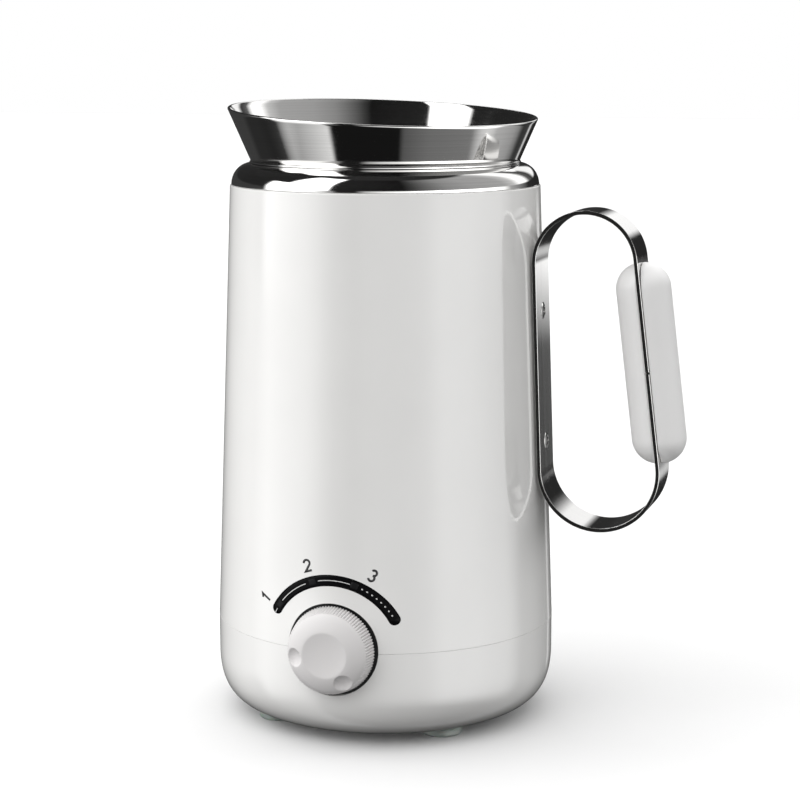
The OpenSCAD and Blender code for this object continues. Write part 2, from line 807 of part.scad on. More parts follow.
// Black seat behind the knob, trapped between the wall and the bracket
module knob_bezel() {
    color("black") on_knob_axis() difference() {
        union() {
            rod(bezel_r, flange_back_d, bezel_face_d);
            rod(bezel_flange_r, flange_back_d, flange_front_d);
        }
        rod(bezel_r - bezel_t, flange_back_d - cut, bezel_face_d - bezel_t);
        rod(shaft_r + 2*knob_gap, flange_back_d, bezel_face_d + cut);
    }
}

module shaft_nut() {
    color("goldenrod") on_knob_axis() difference() {
        translate([0, 0, flange_back_d]) cylinder(h = nut_h, r = nut_r, $fn = 6);
        rod(neck_r + seat_gap, flange_back_d - cut, flange_back_d + nut_h + cut);
    }
}

module switch_case() {
    color("darkslategray") on_knob_axis() difference() {
        union() {
            translate([0, 0, switch_back_d + back_plate_t])
                block([switch_w, switch_w, switch_depth - back_plate_t]);
            rod(neck_r, bracket_back_d - cut, neck_end_d);
        }
        rod(rotor_r + free_gap, switch_back_d, bracket_back_d - case_t);
        rod(shaft_r + shaft_gap, switch_back_d, neck_end_d + cut);
    }
}

module switch_back() {
    color("saddlebrown") on_knob_axis() translate([0, 0, switch_back_d])
        block([switch_w, switch_w, back_plate_t]);
}

// Steel angle that hangs the switch from the carrier ring
module switch_bracket() {
    tab_len = bracket_back_d + bracket_t - carrier_mid_r + bracket_edge;
    plate_h = bracket_w/2 + carrier_z - knob_z;
    color("gray") difference() {
        union() {
            translate([0, -bracket_back_d - bracket_t/2, carrier_z - plate_h])
                block([bracket_w, bracket_t, plate_h]);
            translate([0, -bracket_back_d - bracket_t + tab_len/2, carrier_z - bracket_t])
                block([switch_w, tab_len, bracket_t]);
        }
        on_knob_axis() rod(neck_r + seat_gap, bracket_back_d - cut, flange_back_d + cut);
        bracket_screw_places() rod(screw_r + seat_gap, carrier_z - bracket_t - cut, carrier_z + cut);
    }
}

module bracket_screw_places() {
    for (s = [-1, 1]) translate([s*bracket_screw_x, -carrier_mid_r, 0]) children();
}

module bracket_screws() {
    color("silver") bracket_screw_places() translate([0, 0, carrier_top]) mirror([0, 0, 1])
        screw_up(screw_r, carrier_t + bracket_t, screw_head_r, screw_head_h);
}

module switch_tab(i) {
    color("goldenrod") translate([switch_tab_x[i], -switch_back_d + tab[2]/2, knob_z - tab[1]/2])
        block([tab[0], tab[2], tab[1]]);
}

module dial_scale() {
    z0 = knob_z;
    z1 = knob_z + dial_r + dial_w;
    inset = dial_t - seat_gap;
    color("black") intersection() {
        on_knob_axis() dial_bar(0, flat_r, far);
        rotate_extrude() polygon([
            [shell_r(z0) - inset, z0], [shell_r(z0), z0], [shell_r(z1), z1], [shell_r(z1) - inset, z1]
        ]);
    }
}

module indicator_lamp(i) {
    color("orange") on_lamp(i) {
        rod(lamp_r, -lamp_len, -seat_gap);
        rod(port_r - seat_gap, -cut, 2*panel_gap);
    }
}

// Carrier and heater

// Ring that carries the pot's studs, the switch and the base screws
module carrier_ring() {
    color("lightgray") difference() {
        union() {
            rod(carrier_out_r, carrier_z, carrier_top);
            around(ear_deg, ear_ring_r) {
                rod(ear_r, carrier_z, carrier_top);
                translate([-ear_ring_r + carrier_mid_r, -ear_r, carrier_z])
                    cube([ear_ring_r - carrier_mid_r, 2*ear_r, carrier_t]);
            }
            around(base_screw_deg, base_screw_ring_r) rod(post_r, tube_top, carrier_top);
        }
        rod(carrier_in_r, carrier_z - cut, carrier_top + cut);
        around(ear_deg, ear_ring_r) rod(screw_r + seat_gap, carrier_z - cut, carrier_top + cut);
        around(stud_deg, stud_ring_r) rod(stud_r + seat_gap, carrier_z - cut, carrier_top + cut);
        around(base_screw_deg, base_screw_ring_r)
            rod(screw_r + seat_gap, tube_top - cut, tube_top + base_screw_len);
        bracket_screw_places() rod(screw_r + seat_gap, carrier_z - cut, carrier_top + cut);
    }
}

module carrier_screws() {
    color("silver") around(ear_deg, ear_ring_r) translate([0, 0, carrier_z])
        screw_up(screw_r, post_top - blind_end - free_gap - carrier_z, screw_head_r, screw_head_h);
}

module base_screws() {
    color("silver") around(base_screw_deg, base_screw_ring_r) translate([0, 0, tube_top - tube_web])
        screw_up(screw_r, base_screw_len, screw_head_r, screw_head_h);
}

module clamp_screw_places() {
    for (s = [-1, 1]) translate([0, s*clamp_screw_y, 0]) children();
}

module heating_plate() {
    color("lightgray") difference() {
        union() {
            rod(plate_r, plate_z, pot_z);
            around(stud_deg, stud_ring_r) rod(stud_r, stud_drop, plate_z + cut);
            clamp_screw_places() rod(clamp_boss_r, plate_z - cap_h, plate_z + cut);
        }
        rotate_extrude() translate([element_ring_r, element_z]) circle(element_r + seat_gap);
        clamp_screw_places() rod(screw_r + seat_gap, plate_z - cap_h - cut, pot_z - blind_end);
    }
}

module stud_nuts() {
    color("silver") around(stud_deg, stud_ring_r) difference() {
        translate([0, 0, carrier_z - stud_nut_h]) cylinder(h = stud_nut_h, r = stud_nut_r, $fn = 6);
        rod(stud_r + seat_gap, carrier_z - stud_nut_h - cut, carrier_z + cut);
    }
}

// Ring-shaped heating tube with a cold end and a tab at each side of its gap
module heating_element() {
    color("dimgray") {
        difference() {
            rotate_extrude() translate([element_ring_r, element_z]) circle(element_r);
            translate([0, 0, element_z - 2*element_r]) linear_extrude(4*element_r)
                polygon([[0, 0], polar(far, element_end_deg[0]), polar(far, element_end_deg[1])]);
        }
        around(element_end_deg, element_ring_r) {
            rod(cold_r, element_z - cold_drop, element_z);
        }
        for (p = element_tip) translate(p) block([end_tab[0], end_tab[1], end_tab[2] + cut]);
    }
}

// Round snap thermostat with two tabs, its cap against the plate
module thermostat(x) {
    color("ivory") translate([x, 0, plate_z]) {
        rod(thermostat_r, -cap_h, 0);
        rod(thermostat_neck_r, -thermostat_h, -cap_h/2);
        for (s = [-1, 1]) translate([0, s*tab_y, -thermostat_h - tab[2]])
            block([tab[1], tab[0], tab[2] + cut]);
    }
}

module thermostat_clamp() {
    half_x = thermostat_x + thermostat_neck_r + clamp_edge;
    half_y = thermostat_neck_r + clamp_edge;
    top = plate_z - cap_h;
    color("gray") difference() {
        intersection() {
            translate([0, 0, top - clamp_t]) block([2*half_x, 2*half_y, clamp_t]);
            rod(element_ring_r - element_r - free_gap, top - clamp_t, top);
        }
        for (s = [-1, 1]) translate([s*thermostat_x, 0, 0])
            rod(thermostat_neck_r + seat_gap, top - clamp_t - cut, top + cut);
        clamp_screw_places() rod(screw_r + seat_gap, top - clamp_t - cut, top + cut);
    }
}

module clamp_screws() {
    color("silver") clamp_screw_places() translate([0, 0, plate_z - cap_h - clamp_t])
        screw_up(screw_r, clamp_t + cap_h + plate_t - blind_end - free_gap, screw_head_r, screw_head_h);
}

module thermal_fuse() {
    color("white") translate([0, fuse_y, fuse_z]) {
        rotate([0, 90, 0]) rod(fuse_r, -fuse_len/2, fuse_len/2);
        rotate([0, 90, 0]) rod(fuse_wire_r, -fuse_wire_x, fuse_wire_x);
        for (s = [-1, 1]) translate([s*fuse_wire_x, 0, 0]) {
            sphere(fuse_wire_r);
            rod(fuse_wire_r, -fuse_drop, 0);
        }
    }
}

// Power inlet

module inlet_outline(w, h) {
    c = inlet_chamfer;
    polygon([
        [-w/2, -h/2], [w/2, -h/2], [w/2, h/2 - c],
        [w/2 - c, h/2], [c - w/2, h/2], [-w/2, h/2 - c]
    ]);
}

// Frame whose z runs out of the socket, y up
module on_inlet() {
    translate([0, inlet_floor_y, inlet_z]) rotate([90, 0, 180]) children();
}

module inlet_screw_places() {
    inlet_boss_places() translate([0, 0, inlet_ear_z]) children();
}

module power_inlet() {
    color("black") difference() {
        union() {
            translate([0, inlet_back_y + (inlet_mouth_y - inlet_back_y)/2, inlet_z - inlet_out_h/2])
                block([inlet_out_w, inlet_mouth_y - inlet_back_y, inlet_out_h]);
            inlet_screw_places() block([inlet_ear_w + cut, inlet_ear_w, inlet_ear_t]);
        }
        on_inlet() linear_extrude(far) inlet_outline(inlet_w, inlet_h);
        for (p = pin_places) translate([p[0], inlet_floor_y, p[1] - pin[1]/2 - seat_gap])
            block([pin[0] + 2*seat_gap, 4*inlet_back_t, pin[1] + 2*seat_gap]);
        inlet_screw_places() rod(screw_r + seat_gap, -cut, inlet_ear_t + cut);
    }
}

module inlet_pin(i) {
    len = pin_tail + inlet_back_t + inlet_depth - pin_short;
    color("silver") translate([pin_places[i][0], pin_tail_y + len/2, pin_places[i][1] - pin[1]/2])
        block([pin[0], len, pin[1]]);
}

module inlet_screws() {
    color("silver") inlet_screw_places() translate([0, 0, inlet_ear_t]) mirror([0, 0, 1])
        screw_up(screw_r, inlet_screw_len, screw_head_r, screw_head_h);
}

// Push-in foot: pad, stem through the base and a head that holds it
module foot(i) {
    color("honeydew") around([foot_deg[i]], foot_ring_r) {
        rod(foot_r, 0, floor_z);
        rod(foot_stem_r, floor_z - cut, floor_z + wall + foot_head_h/2);
        rod(foot_head_r, floor_z + wall + seat_gap, floor_z + wall + foot_head_h);
    }
}

// Leads: round wire along a smooth curve between two tabs

function curve(p, t) =
    let (a = p[1], b = p[1] + p[2], c = p[4] + p[3], d = p[4], u = 1 - t)
    u*u*u*a + 3*u*u*t*b + 3*u*t*t*c + t*t*t*d;

function unit(v) = v/norm(v);

function along(p, t) =
    let (h = 0.001, a = max(0, t - h), b = min(1, t + h))
    unit(curve(p, b) - curve(p, a));

function ring(p, t) =
    let (d = along(p, t), u = unit(cross(d, [1, 0, 0])), v = cross(d, u), o = curve(p, t))
    [for (k = [0 : lead_sides - 1]) o + lead_r*(u*cos(360*k/lead_sides) + v*sin(360*k/lead_sides))];

module lead(name) {
    p = LEADS[search([name], LEADS)[0]];
    n = lead_sides;
    color("firebrick") polyhedron(
        [for (i = [0 : lead_steps]) each ring(p, i/lead_steps)],
        concat(
            [[for (k = [0 : n - 1]) n - 1 - k]],
            [for (i = [0 : lead_steps - 1]) for (k = [0 : n - 1]) for (half = [0, 1])
                let (a = i*n + k, b = i*n + (k + 1)%n)
                half == 0 ? [a, b, b + n] : [a, b + n, a + n]],
            [[for (k = [0 : n - 1]) lead_steps*n + k]]
        )
    );
}

outer_shell();
base_cover();
shoulder_ring();
inner_pot();
neck_gasket();
handle_band();
grip_inner();
grip_outer();
handle_screws();
handle_nut_plate();
control_knob();
switch_shaft();
switch_rotor();
knob_bezel();
shaft_nut();
switch_case();
switch_back();
switch_bracket();
bracket_screws();
switch_tab(0);  // switch_tab_1
switch_tab(1);  // switch_tab_2
switch_tab(2);  // switch_tab_3
dial_scale();
indicator_lamp(0);  // indicator_lamp_1
indicator_lamp(1);  // indicator_lamp_2
indicator_lamp(2);  // indicator_lamp_3
carrier_ring();
carrier_screws();
base_screws();
heating_plate();
stud_nuts();
heating_element();
thermostat(thermostat_x);  // boil_thermostat
thermostat(-thermostat_x);  // keep_warm_thermostat
thermostat_clamp();
clamp_screws();
thermal_fuse();
power_inlet();
inlet_pin(0);  // inlet_pin_live
inlet_pin(1);  // inlet_pin_neutral
inlet_pin(2);  // inlet_pin_earth
inlet_screws();
foot(0);  // foot_back_right
foot(1);  // foot_back_left
foot(2);  // foot_front_left
foot(3);  // foot_front_right
lead("lead_live");  // lead_live
lead("lead_boil");  // lead_boil
lead("lead_warm");  // lead_warm
lead("lead_boil_out");  // lead_boil_out
lead("lead_warm_out");  // lead_warm_out
lead("lead_fuse");  // lead_fuse
lead("lead_neutral");  // lead_neutral
lead("lead_earth");  // lead_earth
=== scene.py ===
"""Travel kettle: modelled mouldings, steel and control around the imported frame, in a plain studio."""
import math

import bmesh
import bpy
from bpy.props import FloatProperty, FloatVectorProperty, IntProperty, PointerProperty
from mathutils import Matrix, Vector


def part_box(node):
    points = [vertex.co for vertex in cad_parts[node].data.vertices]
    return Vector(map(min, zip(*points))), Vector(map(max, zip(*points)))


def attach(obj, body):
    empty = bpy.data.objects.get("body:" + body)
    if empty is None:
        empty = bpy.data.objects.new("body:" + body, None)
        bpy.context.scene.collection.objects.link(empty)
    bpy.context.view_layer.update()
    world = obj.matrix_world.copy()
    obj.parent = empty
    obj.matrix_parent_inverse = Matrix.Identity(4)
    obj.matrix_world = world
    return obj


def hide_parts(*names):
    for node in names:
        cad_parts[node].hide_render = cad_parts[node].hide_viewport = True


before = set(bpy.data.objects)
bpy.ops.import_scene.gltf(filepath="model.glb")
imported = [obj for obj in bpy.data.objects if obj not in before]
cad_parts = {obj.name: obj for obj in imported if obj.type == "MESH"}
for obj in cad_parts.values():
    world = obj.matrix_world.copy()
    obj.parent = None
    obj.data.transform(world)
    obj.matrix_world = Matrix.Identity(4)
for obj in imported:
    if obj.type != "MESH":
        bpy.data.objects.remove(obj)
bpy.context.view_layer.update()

bl_info = {
    "name": "Travel Kettle",
    "version": (1, 0, 0),
    "blender": (4, 5, 0),
    "location": "View3D > Sidebar > Kettle",
    "description": "Models the visible pieces and finishes of a travel kettle round its packed frame",
    "category": "Add Mesh",
}

MM = 0.001
BODY = "kettle_body"
CONTROL = "control"

SHELL_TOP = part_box("outer_shell")[1].z
BASE_LOW, BASE_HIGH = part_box("base_cover")
BEZEL_LOW, BEZEL_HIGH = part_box("knob_bezel")
KNOB_LOW, KNOB_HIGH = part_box("control_knob")
BAND_LOW, BAND_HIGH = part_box("handle_band")
POT_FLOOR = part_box("inner_pot")[0].z
INLET_LOW, INLET_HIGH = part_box("power_inlet")
FEET = ("foot_back_right", "foot_back_left", "foot_front_left", "foot_front_right")

ON_AXIS = 1e-7  # metres
SMOOTH_DEGREES = 40
SHARP = math.radians(50)
SAME_WAY = 0.97  # least cosine between a face and the surface that it follows
ROUND_LEAD = 0.25  # place of the close point beside a round, as a share of its radius
NOISE_LOW, NOISE_HIGH = 0.3, 0.7  # range of noise that drives a roughness
TINT_STOPS = (0.35, 0.65)  # levels of noise that have a tint's two colours


# Sizes and colours that a user would change

def length(name, description, millimetres):
    """A length property, given here in millimetres."""
    return FloatProperty(
        name=name, description=description, default=millimetres*MM, unit="LENGTH", precision=5)


def angle(name, description, degrees):
    """An angle property, given here in degrees."""
    return FloatProperty(name=name, description=description, default=math.radians(degrees), unit="ROTATION")


def number(name, description, default):
    """A plain number property."""
    return FloatProperty(name=name, description=description, default=default)


def colour(name, description, default):
    """A linear colour property."""
    return FloatVectorProperty(name=name, description=description, default=default, subtype="COLOR", size=3)


class KettleBody(bpy.types.PropertyGroup):
    """Sizes of the two white mouldings."""
    radius: length("Radius", "Radius of the body at the parting line", BASE_HIGH.x/MM)
    top_radius: length("Top radius", "Radius of the shell at its top edge", 48.9)
    seam: length("Parting line", "Height of the parting line", 30.8)
    wall: length("Wall", "Thickness of the mouldings", 2.2)
    edge: length("Edge", "Radius that breaks the visible edges", 0.3)
    seam_gap: length("Seam", "Width of the visible groove at the parting line", 0.06)
    seam_edge: length("Seam edge", "Radius on the two edges of the groove", 0.06)
    lap: length("Lap", "Height of the lap joint behind the parting line", 3)
    corner_width: length("Corner width", "Width of the base's round corner", 14)
    corner_height: length("Corner height", "Height of the base's round corner", 18)
    corner_power: number("Corner power", "Squareness of the base's corner, 2 is an ellipse", 2.6)
    inlet_edge: length("Inlet clearance", "Gap between the inlet socket and its window in the base", 0.1)


class KettleSteel(bpy.types.PropertyGroup):
    """Sizes of the shoulder ring and the pot."""
    shoulder_height: length("Shoulder height", "Height of the shoulder above the shell", 6.8)
    shoulder_inset: length("Shoulder inset", "How far the shoulder stands in from the shell's edge", 0.4)
    shoulder_sheet: length("Shoulder sheet", "Thickness of the shoulder's sheet", 1)
    rolled: length("Rolled edge", "Radius of the shoulder's edge where it meets the shell", 0.3)
    lip_depth: length("Lip depth", "Depth of the lip that locates the shoulder in the shell", 3.4)
    lip_gap: length("Lip gap", "Clearance of that lip", 0.1)
    neck_radius: length("Neck radius", "Radius of the hole in the shoulder", 42.4)
    sheet: length("Sheet", "Thickness of the pot's sheet", 0.8)
    pot_radius: length("Pot radius", "Outside radius of the pot", 41.5)
    pot_corner: length("Pot corner", "Radius of the pot's bottom corner", 4)
    bead_height: length("Bead height", "Height of the bead under the mouth", 0.6)
    bead_out: length("Bead reach", "How far the bead stands out over the neck", 0.3)
    mouth_radius: length("Mouth foot", "Radius at the foot of the flared mouth", 42.3)
    mouth_height: length("Mouth height", "Height of the rim above the bead, on the axis", 14.9)
    mouth_lean: angle("Mouth lean", "Lean of the flared mouth from upright", 23.6)
    rim_tilt: angle("Rim tilt", "Tilt of the rim's plane", 3.7)
    rim_way: angle("Rim direction", "Direction of the rim's high side, from handle to back", 140.5)


class KettleHandle(bpy.types.PropertyGroup):
    """Sizes of the band, its screws and its grip pads."""
    height: length("Height", "Height of the middle of the loop", 113.2)
    band_width: length("Band width", "Width of the steel band", (BAND_HIGH.y - BAND_LOW.y)/MM)
    band_sheet: length("Band sheet", "Thickness of the steel band", 1.2)
    band_edge: length("Band edge", "Radius on the band's edges", 0.1)
    seat: length("Seat", "Gap between the band and the shell", 0.05)
    leg: length("Leg", "Distance between the middles of the two bends", 64)
    top_bend: length("Top bend", "Middle radius of the upper bend", 15.8)
    bottom_bend: length("Bottom bend", "Middle radius of the lower bend", 18.6)
    split_gap: length("Split", "Gap between the band's two ends", 0.7)
    split_place: length("Split place", "Place of the split from the grip's middle", -2)
    grip_length: length("Grip length", "Length of the grip pads", 62.5)
    grip_place: length("Grip place", "Place of the grip's middle along the outer leg", -0.8)
    grip_width: length("Grip width", "Width of the grip pads", 16)
    grip_depth: length("Grip depth", "Depth of each grip pad", 7.8)
    grip_edge: length("Grip edge", "Radius on the pads' edges beside the band", 0.7)
    screw_top: length("Upper screw", "Height of the upper screw from the middle of the loop", 17)
    screw_bottom: length("Lower screw", "Height of the lower screw from the middle of the loop", -24)
    screw_radius: length("Screw radius", "Radius of the handle screws", 2)
    screw_length: length("Screw length", "Length of the handle screws under their heads", 5)
    head_radius: length("Head radius", "Radius of the screw heads", 2.7)
    head_height: length("Head height", "Height of the domed screw heads", 0.58)


class KettleControl(bpy.types.PropertyGroup):
    """Sizes of the knob and the dial."""
    axis: length("Axis", "Height of the knob's axis", (BEZEL_LOW.z + BEZEL_HIGH.z)/2/MM)
    hole: length("Hole", "Radius of the hole round the knob", 14.35)
    band_front: length("Band front", "Radius at the front of the ribbed band", 12.7)
    band_depth: length("Band depth", "Depth of the ribbed band", 5.2)
    face: length("Face", "Radius of the knob's dished face", 7)
    dish: length("Dish", "Depth of the dish in the face", 0.5)
    ribs: IntProperty(name="Ribs", description="Number of ribs round the knob", default=90)
    rib_depth: length("Rib depth", "Depth of the ribs", 0.5)
    dimple_ring: length("Dimple ring", "Distance of the dimples' ball from the axis", 11.2)
    dimple_rise: length("Dimple rise", "Height of the dimples' ball above the ribbed band", 3.8)
    dimple_ball: length("Dimple ball", "Radius of the ball that shapes a dimple", 4)
    dial_radius: length("Dial radius", "Middle radius of the dial band", 21.4)
    dial_width: length("Dial width", "Width of the dial band", 3.5)
    dial_start: angle("Dial start", "Start of the dial band, clockwise from the top", -60)
    dial_end: angle("Dial end", "End of the dial band, clockwise from the top", 62)
    mark_width: length("Mark width", "Width of the printed lines", 0.24)
    number_radius: length("Number radius", "Distance of the numbers from the knob's axis", 26.6)
    number_height: length("Number height", "Height of the printed numbers", 3.4)


class KettleColours(bpy.types.PropertyGroup):
    """Base colours of the finishes."""
    shell: colour("Shell", "Glossy white of the body", (0.80, 0.795, 0.782))
    grip: colour("Grip", "Satin white of the grip pads", (0.80, 0.795, 0.79))
    knob: colour("Knob", "Satin white of the knob", (0.67, 0.655, 0.652))
    steel: colour("Steel", "Polished steel", (0.70, 0.695, 0.685))
    black: colour("Black", "Black of the dial and the knob's seat", (0.004, 0.004, 0.0045))
    smoke: colour("Smoke", "Smoked windows in the dial", (0.013, 0.013, 0.014))
    print_white: colour("Print", "White of the dial's marks", (0.62, 0.62, 0.61))
    print_dark: colour("Numbers", "Dark print of the numbers", (0.014, 0.014, 0.015))
    silicone: colour("Silicone", "Pale silicone of the feet", (0.50, 0.56, 0.52))


class KettleStage(bpy.types.PropertyGroup):
    """Camera, light and floor."""
    camera_place: FloatVectorProperty(
        name="Camera", description="Place of the camera", default=(0.2019, -0.6280, 0.2093),
        subtype="TRANSLATION", unit="LENGTH")
    camera_down: angle("Camera down", "How far the camera looks down", 9.456)
    camera_turn: angle("Camera turn", "How far the camera is turned about the upright axis", 17.42)
    camera_lens: number("Lens", "Focal length in millimetres on a 36 mm sensor", 93.72)
    contact_radius: length("Contact", "Radius of the dark ground under the object", 72)
    key_power: number("Key", "Strength of the key light from the front left", 0.9)
    left_power: number("Left", "Strength of the low light from the left", 1.0)
    side_power: number("Side", "Strength of the light from the handle's side", 0.5)
    top_power: number("Top", "Strength of the light from above", 0.25)
    room_above: number("Room above", "Brightness of the even light above the horizon", 1.43)
    room_below: number("Room below", "Brightness of the even light below the horizon", 0.425)


# Mesh helpers

def place_round(radius, degrees):
    """Point on a circle round the axis."""
    return radius*math.cos(math.radians(degrees)), radius*math.sin(math.radians(degrees))


def arc(centre, radius, start, end, steps):
    """Points on an arc, angles in degrees."""
    turns = [math.radians(start + (end - start)*i/steps) for i in range(steps + 1)]
    return [(centre[0] + radius*math.cos(t), centre[1] + radius*math.sin(t)) for t in turns]


def soften(corners, steps=4):
    """Rounds the corners of a closed outline of (x, y, radius), with a close point beside each round."""
    points = []
    for i, (x, y, radius) in enumerate(corners):
        here = Vector((x, y))
        if radius == 0:
            points.append((x, y))
            continue
        before = (Vector(corners[i - 1][:2]) - here).normalized()
        after = (Vector(corners[(i + 1) % len(corners)][:2]) - here).normalized()
        half = before.angle(after)/2
        reach = radius/math.tan(half)
        middle = here + (before + after).normalized()*(radius/math.sin(half))
        spoke = here + before*reach - middle
        last = here + after*reach - middle
        sweep = last.angle(spoke)*(1 if spoke.cross(last) > 0 else -1)
        points.append(tuple(here + before*reach + before*radius*ROUND_LEAD))
        points += [tuple(middle + Matrix.Rotation(sweep*k/steps, 2) @ spoke) for k in range(steps + 1)]
        points.append(tuple(here + after*(reach + radius*ROUND_LEAD)))
    return points


def row_fill(points, longest, closed):
    """Splits the long stretches of an outline into even rows."""
    filled = []
    ends = points[1:] + points[:1] if closed else points[1:]
    for (x0, y0), (x1, y1) in zip(points, ends):
        parts = max(1, math.ceil(math.hypot(x1 - x0, y1 - y0)/longest))
        filled += [(x0 + (x1 - x0)*k/parts, y0 + (y1 - y0)*k/parts) for k in range(parts)]
    return filled if closed else filled + [points[-1]]


def loft(bm, columns, closed, round_again=True):
    """Joins equal columns of points with quads and returns their vertices; points on the axis are shared."""
    shared = {}
    rows = []
    for column in columns:
        row = []
        for k, point in enumerate(column):
            on_axis = math.hypot(point[0], point[1]) < ON_AXIS
            vert = shared[k] if on_axis and k in shared else bm.verts.new(point)
            if on_axis:
                shared[k] = vert
            row.append(vert)
        rows.append(row)
    for row, following in zip(rows, rows[1:] + rows[:1] if round_again else rows[1:]):
        for k in range(len(row) if closed else len(row) - 1):
            after = (k + 1) % len(row)
            corners = list(dict.fromkeys((row[k], following[k], following[after], row[after])))
            if len(corners) > 2:
                bm.faces.new(corners)
    return rows


def outward(bm):
    """Turns the faces of a bmesh outward."""
    bmesh.ops.recalc_face_normals(bm, faces=bm.faces)


def move(bm, matrix):
    """Moves a whole bmesh by a matrix."""
    bmesh.ops.transform(bm, matrix=matrix, verts=bm.verts)


def spin(profile, segments, closed):
    """A turned solid from an outline of (radius, height), or from a function of the angle that gives one."""
    bm = bmesh.new()
    columns = []
    for turn in [2*math.pi*i/segments for i in range(segments)]:
        outline = profile(turn) if callable(profile) else profile
        columns.append([(r*math.cos(turn), r*math.sin(turn), z) for r, z in outline])
    loft(bm, columns, closed)
    outward(bm)
    return bm


def smooth(mesh, degrees):
    """Smooth shading, except across edges sharper than an angle."""
    mesh.shade_smooth()
    mesh.set_sharp_from_angle(angle=math.radians(degrees))


def make_object(name, bm, smooth_degrees=SMOOTH_DEGREES):
    """A linked object from a bmesh, smooth except across sharp edges."""
    mesh = bpy.data.meshes.new(name)
    bm.to_mesh(mesh)
    bm.free()
    smooth(mesh, smooth_degrees)
    made = bpy.data.objects.new(name, mesh)
    bpy.context.scene.collection.objects.link(made)
    return made


def place(made, body, material, stands_for=()):
    """Gives a piece its body, finish and the CAD nodes it stands for."""
    made.data.materials.clear()
    made.data.materials.append(material)
    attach(made, body)
    if stands_for:
        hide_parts(*stands_for)


def thicken(made, thickness):
    """Gives a sheet its thickness, behind its face."""
    sheet = made.modifiers.new("thickness", "SOLIDIFY")
    sheet.thickness = thickness
    sheet.offset = -1
    return made


def carve(made, cutters, edge):
    """Cuts closed shapes out of a piece and breaks the new edges."""
    for cutter_bm in cutters:
        cutter = make_object("cutter", cutter_bm)
        cut = made.modifiers.new("cut", "BOOLEAN")
        cut.object = cutter
        cut.solver = "EXACT"
        seen = made.evaluated_get(bpy.context.evaluated_depsgraph_get())
        carved = bpy.data.meshes.new_from_object(seen)
        made.modifiers.clear()
        made.data = carved
        bpy.data.objects.remove(cutter)
    bm = bmesh.new()
    bm.from_mesh(made.data)
    sharp = [e for e in bm.edges if len(e.link_faces) == 2 and e.calc_face_angle() > SHARP]
    bmesh.ops.bevel(bm, geom=sharp, offset=edge, segments=3, profile=0.5, affect="EDGES", clamp_overlap=True)
    bm.to_mesh(made.data)
    bm.free()
    smooth(made.data, SMOOTH_DEGREES)


def true_normals(made, normal_at):
    """Sets the corners that lie on a known surface to that surface's own normal."""
    mesh = made.data
    normals = [Vector(n.vector) for n in mesh.corner_normals]
    for polygon in mesh.polygons:
        for corner in polygon.loop_indices:
            wanted = normal_at(mesh.vertices[mesh.loops[corner].vertex_index].co)
            if wanted is not None and polygon.normal.dot(wanted) > SAME_WAY:
                normals[corner] = wanted
    mesh.normals_split_custom_set(normals)


def tube(radius, start, end, segments):
    """A closed round bar between two points."""
    bm = bmesh.new()
    run = Vector(end) - Vector(start)
    bmesh.ops.create_cone(
        bm, cap_ends=True, segments=segments, radius1=radius, radius2=radius, depth=run.length)
    turn = Vector((0, 0, 1)).rotation_difference(run).to_matrix().to_4x4()
    move(bm, Matrix.Translation((Vector(start) + Vector(end))/2) @ turn)
    return bm


def slab(low, high):
    """A closed box between two corners."""
    bm = bmesh.new()
    bmesh.ops.create_cube(bm, size=1)
    bmesh.ops.scale(bm, vec=Vector(high) - Vector(low), verts=bm.verts)
    bmesh.ops.translate(bm, vec=(Vector(low) + Vector(high))/2, verts=bm.verts)
    return bm


# Shapes of the body that several pieces follow

def shell_taper(body):
    """How fast the shell narrows with height."""
    return (body.radius - body.top_radius)/(SHELL_TOP - body.seam)


def shell_radius(body, z):
    """Outside radius of the shell at a height."""
    return body.radius - (z - body.seam)*shell_taper(body)


def shell_out(body, x, y):
    """Outward direction of the shell, from a direction across its axis."""
    lean = math.atan(shell_taper(body))
    return Vector((x*math.cos(lean), y*math.cos(lean), math.sin(lean)))


def on_front(body, x, z, lift):
    """Point on the front of the shell at a place across and a height, lifted off the surface."""
    radius = shell_radius(body, z)
    depth = math.sqrt(radius*radius - x*x)
    return Vector((x, -depth, z)) + shell_out(body, x/radius, -depth/radius)*lift


def on_dial(control, turn, radius):
    """Place across and height of a point on the dial, its angle clockwise from the top."""
    return radius*math.sin(turn), control.axis + radius*math.cos(turn)


def handle_matrix(body, handle):
    """Frame of the handle: x out from the body, z up along it."""
    lean = math.atan(shell_taper(body))
    foot = Matrix.Translation((shell_radius(body, handle.height), 0, handle.height))
    return foot @ Matrix.Rotation(-lean, 4, "Y")


# Finishes

def add_node(tree, kind, inputs, **settings):
    """Adds a shader node, with a value or a source for each input that is named."""
    node = tree.nodes.new("ShaderNode" + kind)
    for name, value in settings.items():
        setattr(node, name, value)
    for name, value in inputs.items():
        if isinstance(value, bpy.types.NodeSocket):
            tree.links.new(value, node.inputs[name])
        else:
            node.inputs[name].default_value = value
    return node


